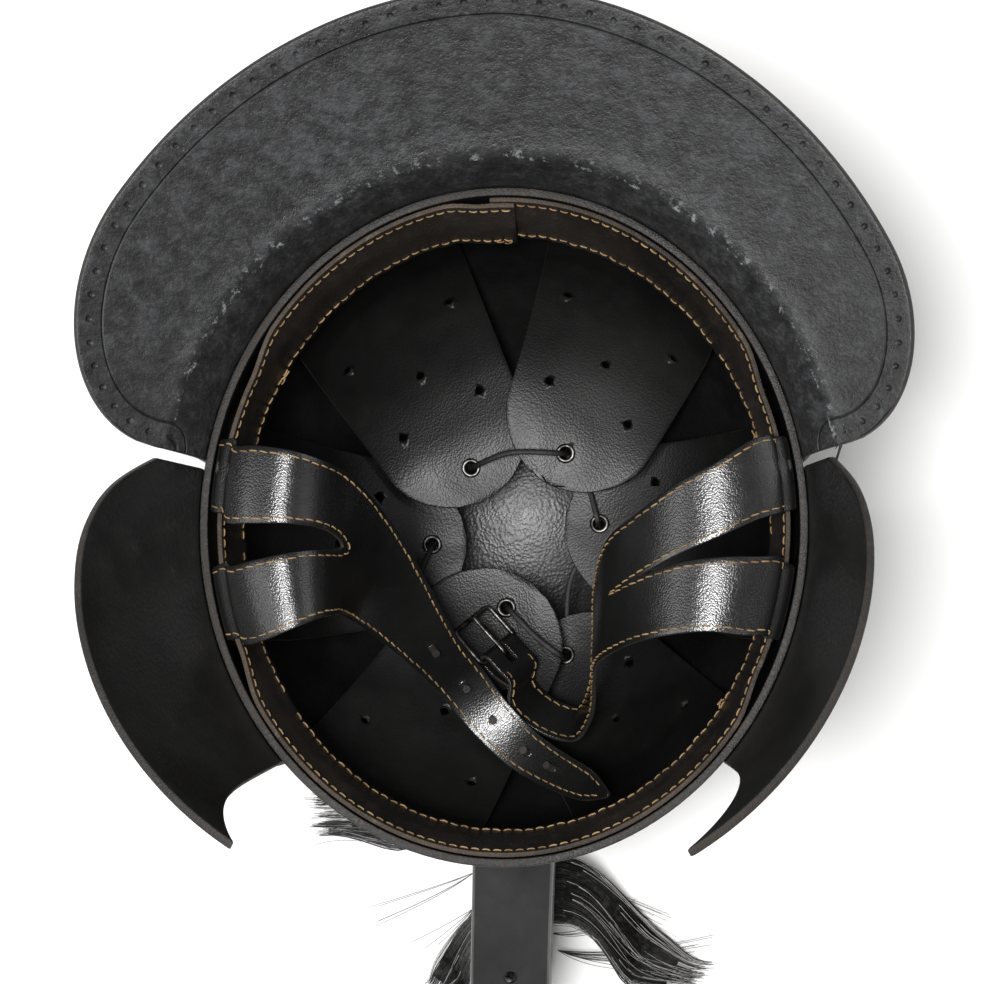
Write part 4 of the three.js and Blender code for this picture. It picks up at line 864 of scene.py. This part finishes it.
def curve_through(points, at, even=False):
    """Points on a smooth curve through a list, at shares of its stations."""
    points = np.asarray(points, float)
    points = points if points.ndim > 1 else points[:, None]
    padded = np.concatenate([[2 * points[0] - points[1]], points, [2 * points[-1] - points[-2]]])
    whole = np.asarray(at, float) * (len(points) - 1)
    i = np.clip(np.floor(whole).astype(int), 0, len(points) - 2)
    t = (whole - i)[..., None]
    p0, p1, p2, p3 = (padded[i + k] for k in range(4))
    if even:
        start, stop = (p2 - p0) / 2, (p3 - p1) / 2
    else:
        d0, d1, d2 = (
            np.maximum(np.sqrt(np.linalg.norm(b - a, axis=-1)), 1e-3)[..., None]
            for a, b in ((p0, p1), (p1, p2), (p2, p3))
        )
        start = ((p1 - p0) / d0 - (p2 - p0) / (d0 + d1) + (p2 - p1) / d1) * d1
        stop = ((p2 - p1) / d1 - (p3 - p1) / (d1 + d2) + (p3 - p2) / d2) * d1
    cubic = 2 * p1 - 2 * p2 + start + stop
    square = -3 * p1 + 3 * p2 - 2 * start - stop
    return ((cubic * t + square) * t + start) * t + p1


near = PETAL_THICKNESS / 2 + EYELET_SEAT + EYELET_FLANGE + 2 * CLEARANCE + LACE_THICKNESS
stops = []
for step in LACE_ROUTE:
    if len(step) == 3:
        stops.append(np.array(step) * (*RIM_HALF, BOWL_DEPTH))
        continue
    place, normal = eyelets[step[0]]
    sides = (1, -1) if step[1] else (-1, 1)
    stops += [place + normal * near * s for s in sides]
path = curve_through(stops, np.linspace(0, 1, 260))
along = unit(np.gradient(path, axis=0))
flat_to = np.array([0.0, 0.0, 1.0]) + 0.001
across = unit(np.cross(along, flat_to))
for _ in range(12):
    across[1:-1] = (across[:-2] + across[1:-1] + across[2:]) / 3
    across = unit(across)
third = np.cross(across, along)
ring = np.array([(-1, -0.6), (-0.8, -1), (0.8, -1), (1, -0.6), (1, 0.6), (0.8, 1), (-0.8, 1), (-1, 0.6)])
ring = ring * (LACE_WIDTH / 2, LACE_THICKNESS / 2)
points = path[:, None] + ring[None, :, :1] * across[:, None] + ring[None, :, 1:] * third[:, None]
lace_leather, tree, shader = finish_material("lace_leather", specular_ior_level=0.3)
grain = noise(tree, add_node(tree, "TexCoord").outputs["Object"], 900.0, 4.0)
tone = blend(tree, grain, (0.001, 0.001, 0.001, 1), (0.006, 0.0055, 0.005))
dress(tree, shader, tone, spread(tree, grain, 0.0, 1.0, 0.45, 0.65), grain, 0.4, 0.0003)
faces = sleeve_faces(len(path), len(ring))
lace = object_of("draw_lace_leather", points.reshape(-1, 3), faces, (lace_leather,))
put_on(lace, "root", "strap_leather", "draw_lace")


# Chin straps: forked straps of coated black leather, edge-stitched in tan thread, whose roots are
# sewn behind the sweatband. The left one has punched holes and a pointed end.
STRAP_THICKNESS, STRAP_SPREAD, STRAP_TAIL_WIDTH, STRAP_ROOT_DEPTH = 1.6, 72, 18, 14
STRAP_ROOT_Y, STRAP_OVER_BAND, STITCH_INSET, FORK_STITCH_END = -0.045, 2.8, 2.0, 1.123
STRAP_HOLES, STRAP_HOLE = (0.645, 0.705, 0.765, 0.83, 0.885), 1.5
STRAP_LEAD, STRAP_TUCK, STRAP_POINT, STRAP_ROWS = 12, 5, 16, 13
FORK_STATION, FORK_GAP_ROOT, FORK_GAP_END, FORK_ROUND_AT = 9, 0.34, 0.12, 0.955
STITCH_START, STITCH_END_LEFT, STITCH_STOP_RIGHT = 0.13, 0.985, 9.2
LEFT_STRAP = (
    (-0.9, -0.062, 0.036, 0, 1, 0, 0.99, 1), (-0.82, -0.058, 0.06, 0, 1, 0, 0.95, 1),
    (-0.7, -0.048, 0.068, 0, 1, 0, 0.83, 0.9), (-0.61, -0.046, 0.035, 0.05, 1, 0, 0.72, 0.6),
    (-0.535, -0.062, -0.055, 0.2, 1, 0, 0.6, 0.3), (-0.43, -0.165, -0.25, 0.6, 0.8, 0, 0.3, 0),
    (-0.27, -0.357, -0.44, 0.78, 0.62, 0, 0.06, 0), (-0.167, -0.469, -0.52, 0.78, 0.62, 0, 0.02, 0),
    (-0.07, -0.577, -0.545, 0.75, 0.66, 0, 0, 0), (0.042, -0.672, -0.53, 0.65, 0.76, 0, -0.02, 0),
    (0.143, -0.727, -0.485, 0.5, 0.86, 0, -0.05, 0), (0.26, -0.775, -0.39, 0.4, 0.92, 0, -0.1, 0),
    (0.345, -0.805, -0.315, 0.36, 0.93, 0, -0.22, 0),
)
RIGHT_STRAP = (
    (0.91, -0.04, 0.036, 0, 1, 0, 0.99, 1), (0.84, -0.049, 0.055, 0, 1, 0, 0.95, 1),
    (0.711, -0.076, 0.065, 0, 1, 0, 0.78, 0.8), (0.583, -0.107, 0.045, 0, 1, 0, 0.67, 0.5),
    (0.452, -0.156, -0.015, 0, 1, 0, 0.54, 0.2), (0.35, -0.21, -0.1, 0, 1, 0, 0.45, 0),
    (0.306, -0.28, -0.22, 0, 0.97, -0.25, 0.3, 0), (0.296, -0.391, -0.37, 0, 0.83, -0.55, 0.1, 0),
    (0.28, -0.52, -0.5, 0, 0.74, -0.67, 0, 0), (0.222, -0.59, -0.585, 0.1, 0.75, -0.65, 0, 0),
    (0.115, -0.56, -0.605, 0.33, 0.72, -0.61, 0, 0), (0.03, -0.49, -0.6, 0.5, 0.6, -0.62, 0, 0),
)
BUCKLE_LENGTH, BUCKLE_WIDTH, BUCKLE_BAR, TONGUE_WIDTH, STRAP_RETURN = 19, 24, 2, 2.4, 13
buckle_middle = np.array([-0.1, -0.306, -0.6]) * (*RIM_HALF, BOWL_DEPTH)
buckle_along = unit([-0.667, 0.745, 0])
buckle_up = unit(np.cross([0.57, 0.51, -0.64], buckle_along))
buckle_side = np.cross(buckle_up, buckle_along)
buckle_bar = buckle_middle - buckle_along * (BUCKLE_LENGTH - BUCKLE_BAR) / 2
around_bar = BUCKLE_BAR / 2 * math.sqrt(2) + CLEARANCE + STRAP_THICKNESS / 2


def on_buckle(points, origin):
    """Points given along, across and out of the buckle, placed at an origin."""
    points = np.asarray(points, float)
    return points[:, :1] * buckle_along + points[:, 1:2] * buckle_side + points[:, 2:] * buckle_up + origin


strap_leather = leather(
    "strap_leather", (0.004, 0.004, 0.004), (0.0085, 0.0083, 0.008), 1500, 0.4, 0.2, (0.19, 0.28), 0.06,
    specular_ior_level=0.55,
)


def wall_x(y, height):
    """How far the inside of the bowl is to the side, at a place along it and a height."""
    half = (RIM_HALF[:, None] - BOWL_WALL) * np.ravel(bowl_share(height, BOWL_WALL))
    out = half[0] * np.sqrt(np.clip(1 - (np.ravel(y) / half[1]) ** 2, 0, 1))
    return out.reshape(np.shape(y)) if np.ndim(y) else out[0]


def strap_stations(table, side, loop):
    """A strap's stations: places, directions across, widths, and how closely each hugs the wall."""
    slot = WALL_EASE + STRAP_THICKNESS / 2
    root_y = STRAP_ROOT_Y * RIM_HALF[1]
    rows = [
        (np.array([side * (wall_x(root_y, height) - inward), root_y, height]), (0, 1, 0), STRAP_SPREAD, 1)
        for inward, height in (
            (slot, -STRAP_ROOT_DEPTH), (slot, -STRAP_ROOT_DEPTH / 2), (slot, 0),
            (slot + STRAP_THICKNESS, STRAP_OVER_BAND),
            (BAND_GAP + BAND_THICKNESS + STRAP_THICKNESS, 1.6 * STRAP_OVER_BAND),
        )
    ]
    for *place, across_x, across_y, across_z, fork_share, hug in table:
        across = unit([across_x, across_y, across_z])
        width = STRAP_TAIL_WIDTH + (STRAP_SPREAD - STRAP_TAIL_WIDTH) * fork_share
        rows.append((place * np.array([*RIM_HALF, BOWL_DEPTH]), across, width, hug))
    for along, up in loop:
        place = buckle_bar + buckle_along * along + buckle_up * up
        rows.append((place, -buckle_side, STRAP_TAIL_WIDTH, 0))
    return [np.array(column, float) for column in zip(*rows)]


def strap_surface(stations, side):
    """A strap's surface: u from its root to its end, v across it."""
    places, acrosses, widths, hugs = stations

    def surface(u, v):
        u, v = np.broadcast_arrays(np.asarray(u, float), np.asarray(v, float))
        at = np.clip(u, 0, 1)
        place = curve_through(places, at)
        across = unit(curve_through(acrosses, at, even=True))
        width = curve_through(widths, at, even=True)[..., 0]
        hug = np.clip(curve_through(hugs, at, even=True)[..., 0], 0, 1)
        point = place + across * ((v - 0.5) * width)[..., None]
        inward = wall_x(place[..., 1], place[..., 2]) - np.abs(place[..., 0])
        hugged = side * (wall_x(point[..., 1], place[..., 2]) - inward)
        point[..., 0] += hug * (hugged - point[..., 0])
        return point

    return surface


def towards_point(left):
    """How wide a pointed end is, as a share, by what is left of the strap's length."""
    return np.sqrt(1 - (1 - np.clip(left / STRAP_POINT, 0, 1)) ** 2 * 0.985)


turns = np.radians((30, 60, 90, 120, 150))
loop = [(-STRAP_LEAD, around_bar), (-STRAP_LEAD / 2, around_bar), (0, around_bar)]
loop += [(around_bar * math.sin(a), around_bar * math.cos(a)) for a in turns]
loop += [(0, -around_bar), (-STRAP_TUCK, -around_bar)]
loop += [(-STRAP_RETURN, around_bar - STRAP_THICKNESS - 2 * CLEARANCE)]
for name, table, side, loop_steps in (
    ("chin_strap_left", LEFT_STRAP, -1, []),
    ("chin_strap_right", RIGHT_STRAP, 1, loop),
):
    is_left = side < 0
    stations = strap_stations(table, side, loop_steps)
    surface = strap_surface(stations, side)
    count = len(stations[0]) - 1
    fork_end = FORK_STATION / count

    def gap_at(u):
        """The open share of the width between the two arms: a round end at the left, sharp at the right."""
        left = np.clip((fork_end - u) / fork_end, 0, 1)
        if is_left:
            close = np.sqrt(np.clip(1 - (1 - left / 0.1).clip(0, 1) ** 2, 0, 1))
        else:
            close = (left / 0.32).clip(0, 1) ** 0.8
        return (FORK_GAP_ROOT + (FORK_GAP_END - FORK_GAP_ROOT) * u / fork_end) * close * (u < fork_end)

    def width_at(u):
        """The strap's whole width in millimetres."""
        return curve_through(stations[2], u, even=True)[:, 0]

    u = np.concatenate([
        np.linspace(0, fork_end * 0.88, 70)[:-1], np.linspace(fork_end * 0.88, fork_end, 16)[:-1],
        np.linspace(fork_end, 1, 110),
    ])
    run = run_of(surface(u, 0.5 + 0 * u))
    arms = []
    for start, end in ((0 * u, 0.5 - gap_at(u) / 2), (0.5 + gap_at(u) / 2, 0 * u + 1)):
        v = start[:, None] + (end - start)[:, None] * np.linspace(0, 1, STRAP_ROWS)
        if is_left:
            v = 0.5 + (v - 0.5) * towards_point(run[-1] - run)[:, None]
        arms.append((surface(u[:, None], v).reshape(-1, 3), grid_faces(len(u), STRAP_ROWS)))
    strap = object_of(name + "_leather", *gather(arms), (strap_leather, cut_edge))
    welded = bmesh.new()
    welded.from_mesh(strap.data)
    bmesh.ops.remove_doubles(welded, verts=welded.verts, dist=2e-5)
    welded.to_mesh(strap.data)
    welded.free()
    settle(strap, *thicken(STRAP_THICKNESS))
    if is_left:
        punch(strap, [(*frame_at(surface, at, 0.5), STRAP_HOLE) for at in STRAP_HOLES])
    else:
        # A slot where the end turns round the bar lets the tongue through.
        slot = np.array([(x, y, z) for x in (-6.5, 6) for y in (-2, 2) for z in (-6, 6)])
        faces = [(0, 1, 3, 2), (4, 6, 7, 5), (0, 4, 5, 1), (2, 3, 7, 6), (0, 2, 6, 4), (1, 5, 7, 3)]
        cut_away(strap, on_buckle(slot, buckle_bar), faces)
    put_on(strap, "root", "strap_leather", name)

    # Its stitching runs round every edge: outside of the fork, and along both sides of the opening.
    last = STITCH_END_LEFT if is_left else (count - STITCH_STOP_RIGHT) / count
    fine = np.linspace(STITCH_START, last, 700)
    edge = 0.5 - STITCH_INSET / width_at(fine)
    if is_left:
        edge = edge * towards_point(run[-1] * (1 - fine))
    lines = [(fine, 0.5 - edge), (fine, 0.5 + edge)]
    before = np.linspace(STITCH_START, fork_end * (FORK_ROUND_AT if is_left else 0.8), 240)
    beside = gap_at(before) / 2 + STITCH_INSET / width_at(before)
    if is_left:
        past_end = fork_end * (1 - FORK_ROUND_AT) + STITCH_INSET / run[-1]
        bow = np.linspace(0, math.pi, 40)[1:-1]
        around_u = np.concatenate([before, before[-1] + past_end * np.sin(bow), before[::-1]])
        around_v = np.concatenate([-beside, -beside[-1] * np.cos(bow), beside[::-1]])
        lines.append((around_u, 0.5 + around_v))
    else:
        closing = np.linspace(0, 1, 80)[1:]
        last = fork_end * FORK_STITCH_END
        for arm in (-1, 1):
            line_u = np.concatenate([before, before[-1] + (last - before[-1]) * closing])
            lines.append((line_u, 0.5 + arm * np.concatenate([beside, beside[-1] * (1 - closing)])))
    parts = []
    for line_u, line_v in lines:
        path, normals = frame_at(surface, line_u, line_v)
        if normals[len(normals) // 3, 2] <= 0:
            normals = -normals
        keep = np.linalg.norm(np.diff(path, axis=0, prepend=path[:1] - 1), axis=1) > 1e-6
        parts += sewn_row(path[keep] + normals[keep] * STRAP_THICKNESS / 2, normals[keep], rng)
    points, faces = gather(parts)
    strap_thread = object_of(name + "_thread", points, faces, (thread,))
    put_on(strap_thread, "root", "strap_leather")


# Buckle: a bent wire frame of nickel-plated steel with a tongue curled round its near bar.
# The strap's end wraps that bar and is sewn back under itself. It hangs open.
BUCKLE_CORNER, WIRE_SIDES, TONGUE_SIDES = 2.6, 14, 12
wire = []
for quarter, (sign_x, sign_y) in enumerate(((1, 1), (-1, 1), (-1, -1), (1, -1))):
    centre = np.array([
        sign_x * ((BUCKLE_LENGTH - BUCKLE_BAR) / 2 - BUCKLE_CORNER),
        sign_y * ((BUCKLE_WIDTH - BUCKLE_BAR) / 2 - BUCKLE_CORNER), 0,
    ])
    for a in np.radians(np.linspace(quarter * 90, quarter * 90 + 90, 8)):
        wire.append(centre + BUCKLE_CORNER * np.array([math.cos(a), math.sin(a), 0]))
wire = np.array(wire)
upward = np.array([0, 0, 1])
points = []
for i, spot in enumerate(wire):
    out_to = np.cross(unit(wire[(i + 1) % len(wire)] - wire[i - 1]), upward)
    for a in np.linspace(0, 2 * math.pi, WIRE_SIDES, endpoint=False):
        points.append(spot + BUCKLE_BAR / 2 * (math.cos(a) * out_to + math.sin(a) * upward))
faces = sleeve_faces(len(wire), WIRE_SIDES, closed=True)
buckle = object_of("buckle_frame_wire", on_buckle(points, buckle_middle), faces, (nickel,))
put_on(buckle, "root", "nickel", "buckle_frame")

eye = BUCKLE_BAR / 2 * math.sqrt(2) + CLEARANCE + 0.8
spine = [(math.sin(a) * eye, math.cos(a) * eye) for a in np.linspace(-math.radians(290), 0, 20)]
spine += [(x, eye - 0.25 * (x / 17) ** 2) for x in np.linspace(2, BUCKLE_LENGTH - BUCKLE_BAR / 2 - 0.6, 12)]
spine = np.array(spine)
path = np.stack([spine[:, 0], 0 * spine[:, 0], spine[:, 1]], -1)
along = unit(np.gradient(path, axis=0))
third = np.cross(along, [0, 1, 0])
taper = np.concatenate([np.full(len(path) - 5, 1.0), [0.98, 0.95, 0.88, 0.75, 0.5]])
angles = np.linspace(0, 2 * math.pi, TONGUE_SIDES, endpoint=False)
ring = np.stack([np.cos(angles), np.sin(angles)], -1)
ring = np.sign(ring) * np.abs(ring) ** 0.75
points = path[:, None] + ring[None, :, :1] * np.array([0, TONGUE_WIDTH / 2, 0]) * taper[:, None, None]
points = points + ring[None, :, 1:] * third[:, None] * 0.72 * taper[:, None, None]
points = on_buckle(points.reshape(-1, 3), buckle_bar)
faces = sleeve_faces(len(path), TONGUE_SIDES, outward=False)
tongue = object_of("buckle_tongue_wire", points, faces, (nickel,))
put_on(tongue, "buckle_tongue", "nickel", "buckle_tongue")


# Crest box: a light core curved to the crown and wrapped in smooth dark leather, whose rounded
# edges carry a painted highlight: a thin line of lighter colour. One small rivet holds its front end.
CREST_RADIUS, CREST_HEIGHT, CREST_ASIDE, CREST_CORNER = 300, 24, -1.5, 1.2
CREST_FRONT_REACH, CREST_BACK_REACH = 176, 150
CREST_CROWN_WIDTH, CREST_END_WIDTH = 37, 31
crest_front = -math.asin(CREST_FRONT_REACH / CREST_RADIUS)
crest_back = math.asin(CREST_BACK_REACH / CREST_RADIUS)
crest_leather = leather(
    "crest_leather", (0.017, 0.017, 0.0175), (0.034, 0.034, 0.035), 1900, 0.4, 0.12, (0.36, 0.44), 0.1,
    specular_ior_level=0.55,
)
# The crest's edge finish: its light colour is a painted highlight along the rounded edges.
painted_edge_highlight = leather(
    "painted_edge_highlight", (0.05, 0.048, 0.047), (0.11, 0.108, 0.105), 2200, 0.4, 0.2, (0.26, 0.36), 0.2,
    specular_ior_level=0.7,
)


def crest_point(angle, out, x):
    """A point on the crest's arc: an angle from the crown, how far out from its inner face, and aside."""
    angle, out, x = np.broadcast_arrays(*(np.asarray(a, float) for a in (angle, out, x)))
    radius = CREST_RADIUS + CLEARANCE + out
    return np.stack(
        [CREST_ASIDE + x, radius * np.sin(angle), CREST_RADIUS - BOWL_DEPTH - radius * np.cos(angle)], -1
    )


def crest_sweep(angles, half_width, inner, outer, corner):
    """Points and faces of a bar that follows the crest's arc, with round corners and flat ends."""
    quarters = [(0, 1, 1), (90, -1, 1), (180, -1, -1), (270, 1, -1)]
    ring = [(x, o, math.radians(start + part)) for start, x, o in quarters for part in (0, 30, 60, 90)]
    aside = np.stack([x * (half_width - corner) + corner * math.cos(a) for x, o, a in ring], -1)
    middle, half = (inner + outer) / 2, (outer - inner) / 2
    out_by = np.array([middle + o * (half - corner) + corner * math.sin(a) for x, o, a in ring])
    points = crest_point(angles[:, None], out_by, aside).reshape(-1, 3)
    return points, sleeve_faces(len(angles), len(ring), outward=False)


angles = np.linspace(crest_front, crest_back, 140)
half_width = (CREST_CROWN_WIDTH + (CREST_END_WIDTH - CREST_CROWN_WIDTH) * np.abs(angles / crest_front)) / 2
points, faces = crest_sweep(angles, half_width, 0, CREST_HEIGHT, CREST_CORNER)
points[:, 0] += 0.35 * slow_noise(points, 45, 71)
crest = object_of("crest_box_leather", points, faces, (crest_leather, painted_edge_highlight))
# The narrow corner faces, and the bevel below, take the painted edge highlight.
for face in crest.data.polygons:
    if face.area < 0.7e-6 * (crest_back - crest_front) * CREST_RADIUS / len(angles):
        face.material_index = 1
settle(crest, ("BEVEL", {"width": 0.0008, "segments": 2, "limit_method": "ANGLE",
                         "angle_limit": math.radians(50), "material": 1}))
put_on(crest, "root", "flesh_leather", "crest_box")

CREST_RIVET_SETBACK, CREST_RIVET_SHANK, CREST_RIVET_HEAD, CREST_RIVET_LENGTH = 6, 1.2, 2.6, 6
rivet_angle = crest_front + CREST_RIVET_SETBACK / CREST_RADIUS
place = crest_point(rivet_angle, 0, 0)
axis = crest_point(rivet_angle, -1, 0) - place
outline = [(0.05, -CREST_RIVET_LENGTH), (CREST_RIVET_SHANK, -CREST_RIVET_LENGTH), (CREST_RIVET_SHANK, 0.05)]
outline += dome(CREST_RIVET_HEAD, 0.1, CREST_RIVET_HEAD / 2)
crest_rivet = turned("crest_rivet_steel", outline, place, axis, steel, 28)
put_on(crest_rivet, "root", "dark_steel", "crest_rivet")


# Horsehair: dyed black hair, its roots bound in a strip along the crest's outer face. The helmet's
# weight splays it to both sides in locks that lie on the table, and a few hairs stray from them.
HAIR_ROOT_WIDTH, HAIR_ROOT_THICKNESS, HAIR_ROOM, HAIR_REACH = 26, 5, 3, 90
HAIR_LOCK_THICKNESS, HAIR_TIP_THICKNESS, HAIRS_PER_MM, HAIR_THICKNESS = 9, 3, 5.6, 0.17
HAIR_STEPS, MASS_STEPS, MASS_SIDES, MASS_REACH = 15, 34, 24, 0.84
LEFT_LOCKS = (
    (0.1, 0.35, 60, 0.5), (0.27, 0.86, 8, 0.6), (0.43, 1.0, 0, 1.05), (0.58, 1.0, -4, 1.1),
    (0.74, 0.96, -8, 1.1), (0.9, 0.92, -14, 1.1),
)
RIGHT_LOCKS = (
    (0.163, 0.8, 35, 0.57), (0.28, 0.6, 0, 0.65), (0.4, 0.9, 0, 0.9), (0.52, 0.96, 0, 1.05),
    (0.65, 1.0, -5, 1.1), (0.78, 0.96, -9, 1.15), (0.91, 0.94, -14, 1.1),
)
hair_run = (crest_back - crest_front) * (CREST_RADIUS + CREST_HEIGHT)

horsehair, tree, shader = finish_material("horsehair", specular_ior_level=0.45, roughness=0.34)
shades = noise(tree, add_node(tree, "TexCoord").outputs["Object"], 420.0)
tone = two_tone(tree, shades, (0.48, 0.72), (0.003, 0.0028, 0.0026), (0.05, 0.047, 0.044))
tree.links.new(tone, shader.inputs["Base Color"])
under_hair, tree, shader = finish_material("hair_in_shade", specular_ior_level=0.25, roughness=0.6)
shader.inputs["Base Color"].default_value = (0.006, 0.0055, 0.005, 1)


def lock_point(lock, side, spacing, u, v, lift):
    """A point in a lock: u from root to tip, v across it, lift from its underside (0) to its top (1)."""
    at, reach_share, turn, width = lock
    u, v, lift = np.broadcast_arrays(*(np.asarray(a, float) for a in (u, v, lift)))
    angle = crest_front + (crest_back - crest_front) * at
    reach = HAIR_REACH * reach_share
    root_x = side * HAIR_ROOT_WIDTH * 0.3
    root_y = crest_point(angle, CREST_HEIGHT, 0)[1]
    depth = HAIR_LOCK_THICKNESS + (HAIR_TIP_THICKNESS - HAIR_LOCK_THICKNESS) * np.clip(u, 0, 1)
    across = (v - 0.5) * spacing * width * (1 - 0.5 * smooth_step(u, 0.55, 1))
    swung = np.radians(turn) * u
    out = CREST_HEIGHT + HAIR_ROOM + depth * (1 - lift)
    root = crest_point(angle + across / (CREST_RADIUS + CREST_HEIGHT), out, root_x + side * reach * u)
    bend = 1 - np.clip(1 - u, 0, None) ** 1.6
    laid = np.stack([
        CREST_ASIDE + root_x + side * (reach * u * np.cos(swung * 0.6) + across * np.sin(swung)),
        root_y - reach * math.sin(math.radians(turn)) * bend + across * np.cos(swung),
        FLOOR + 0.25 + (depth - 0.5) * lift,
    ], -1)
    return root + (laid - root) * smooth_step(u, 0.1, 0.65)[..., None]


def hairs(name, paths, thickness=HAIR_THICKNESS, material=horsehair):
    """Thin three-sided hairs along many paths at once, narrower towards their tips."""
    count, steps = paths.shape[:2]
    along = np.gradient(paths, axis=1)
    along /= np.linalg.norm(along, axis=2)[..., None] + 1e-9
    across = np.cross(along, (0.1, 0.2, 1.0))
    across /= np.linalg.norm(across, axis=2)[..., None] + 1e-9
    third = np.cross(across, along)
    angles = np.radians((90, 210, 330))
    size = thickness * np.linspace(1, 0.55, steps)[None, :, None, None]
    points = paths[:, :, None] + size * (
        np.cos(angles)[:, None] * across[:, :, None] + np.sin(angles)[:, None] * third[:, :, None]
    )
    first = (np.arange(count) * steps * 3)[:, None, None] + (np.arange(steps - 1) * 3)[:, None]
    here, beside = first + np.arange(3), first + (np.arange(3) + 1) % 3
    faces = np.stack([here, here + 3, beside + 3, beside], -1).reshape(-1, 4).tolist()
    starts = np.arange(count) * steps * 3
    faces += np.stack([starts, starts + 1, starts + 2], -1).tolist()
    faces += (np.stack([starts + 2, starts + 1, starts], -1) + (steps - 1) * 3).tolist()
    return object_of(name, points.reshape(-1, 3), faces, (material,))


rng = np.random.default_rng(23)
strip_angles = np.linspace(crest_front + 5 / CREST_RADIUS, crest_back - 5 / CREST_RADIUS, 90)
strip_top = CREST_HEIGHT + CLEARANCE
strip_half_width = np.full(len(strip_angles), HAIR_ROOT_WIDTH / 2)
mass_faces = sleeve_faces(MASS_STEPS, MASS_SIDES, outward=False)
parts = [crest_sweep(strip_angles, strip_half_width, strip_top, strip_top + HAIR_ROOT_THICKNESS, 1.5)]
for side, locks in ((-1, LEFT_LOCKS), (1, RIGHT_LOCKS)):
    spacing = hair_run / len(locks)
    for lock in locks:
        round_it = np.linspace(0, 2 * math.pi, MASS_SIDES + 1)[:-1]
        u, a = np.meshgrid(np.linspace(0, MASS_REACH, MASS_STEPS), round_it, indexing="ij")
        spots = np.stack([a * 3, u * 2, 0 * u + lock[0] * 9], -1).reshape(-1, 3)
        slim = (0.9 - 0.25 * u) * (1 + 0.16 * slow_noise(spots, 0.7, 5).reshape(u.shape))
        v = 0.5 + 0.5 * slim * np.sign(np.cos(a)) * np.abs(np.cos(a)) ** 0.7
        points = lock_point(lock, side, spacing, u, v, 0.48 + 0.42 * slim * np.sin(a)).reshape(-1, 3)
        parts.append((points, [face[::side] for face in mass_faces]))
points, faces = gather(parts)
points[:, 2] = np.maximum(points[:, 2], FLOOR + 0.2)
hair_mass = object_of("crest_hair_mass", points, faces, (under_hair,))
put_on(hair_mass, "root", "horsehair", "crest_hair")

for word, side, locks in (("left", -1, LEFT_LOCKS), ("right", 1, RIGHT_LOCKS)):
    spacing = hair_run / len(locks)
    groups = []
    for lock in locks:
        count = int(HAIRS_PER_MM * spacing * lock[3])
        end = np.clip(1 + 0.045 * rng.standard_normal(count) - 0.12 * (rng.random(count) < 0.2), 0.72, 1.1)
        u = np.linspace(0.01, 1, HAIR_STEPS) * end[:, None]
        start = rng.uniform(0.02, 0.98, count)[:, None]
        stray = (rng.random(count) < 0.06)[:, None] * rng.standard_normal(count)[:, None]
        spots = np.stack([start.repeat(HAIR_STEPS, 1) * 14, u * 2.2, 0 * u + lock[0] * 40], -1)
        clump = slow_noise(spots.reshape(-1, 3), 1, 9).reshape(u.shape)
        wander = 0.045 * clump * u + 0.02 * rng.standard_normal(count)[:, None] * u ** 2
        v = start + wander + 0.22 * stray * u ** 2
        on_top = rng.random(count)[:, None] < 0.72
        lifts = [rng.uniform(0.9, 1.08, count)[:, None], rng.uniform(0, 0.9, count)[:, None]]
        lift = np.where(on_top, *lifts) + 0.35 * np.abs(stray) * u
        edge = np.clip(np.abs(v - 0.5) * 2, 0, 1)
        lift = 0.5 + (lift - 0.5) * np.sqrt(1 - 0.85 * edge ** 4)
        groups.append(lock_point(lock, side, spacing, u, v, lift))
    paths = np.concatenate(groups)
    paths[..., 2] = np.maximum(paths[..., 2], FLOOR + 0.25)
    put_on(hairs(f"crest_hair_{word}_strands", paths), "root", "horsehair")

# Single hairs: arcs across the right front lock, and long ones that trail to the left.
stray_paths = []
for start, middle, end, spread, count in (
    ((11, -136, -166), (22, -139, -172), (58, -158, -184), (5, 3), 9),
    ((12, -160, -168), (28, -166, -174), (47, -155, -180), (2, 3), 4),
    ((15, -168, -176), (35, -176, -182), (72, -171, -185), (8, 7), 16),
    ((-20, -135, -166), (-32, -143, -176), (-62, -155, -185), (3, 4), 5),
    ((-20, -150, -168), (-27, -160, -178), (-34, -168, -185), (6, 5), 6),
):
    for _ in range(count):
        shift = rng.standard_normal(3) * (spread[0], spread[1], 0.5)
        knots = np.array([start, middle + 0.5 * shift, end + shift])
        t = np.linspace(0, 1, HAIR_STEPS)[:, None]
        curve = knots[0] * (1 - t) ** 2 + 2 * knots[1] * t * (1 - t) + knots[2] * t ** 2
        stray_paths.append(curve)
paths = np.array(stray_paths)
paths[..., 2] = np.maximum(paths[..., 2], FLOOR + 0.3)
put_on(hairs("crest_hair_stray", paths), "root", "horsehair")

# Painted highlights: hairs coloured pale grey lie on the locks' tops and stand in for the glints of light
# along the black strands.
painted_highlight_hair, tree, shader = finish_material("painted_highlight_hair", specular_ior_level=0.8, roughness=0.3)
shader.inputs["Base Color"].default_value = (0.42, 0.41, 0.4, 1)
groups = []
for side, locks, chosen, count in (
    (1, RIGHT_LOCKS, 0, 30), (-1, LEFT_LOCKS, 0, 10), (-1, LEFT_LOCKS, 1, 10),
):
    first = rng.uniform(0.15, 0.72, count)[:, None]
    u = first + (rng.uniform(0.9, 1.06, count)[:, None] - first) * np.linspace(0, 1, HAIR_STEPS)
    v = rng.uniform(0.05, 0.95, count)[:, None]
    v = v + 0.3 * rng.standard_normal(count)[:, None] * (u - first) ** 1.5
    lift = rng.uniform(1.04, 1.14, count)[:, None]
    groups.append(lock_point(locks[chosen], side, hair_run / len(locks), u, v, lift))
put_on(hairs("crest_hair_painted_highlights", np.concatenate(groups), 0.13, painted_highlight_hair), "root", "horsehair")
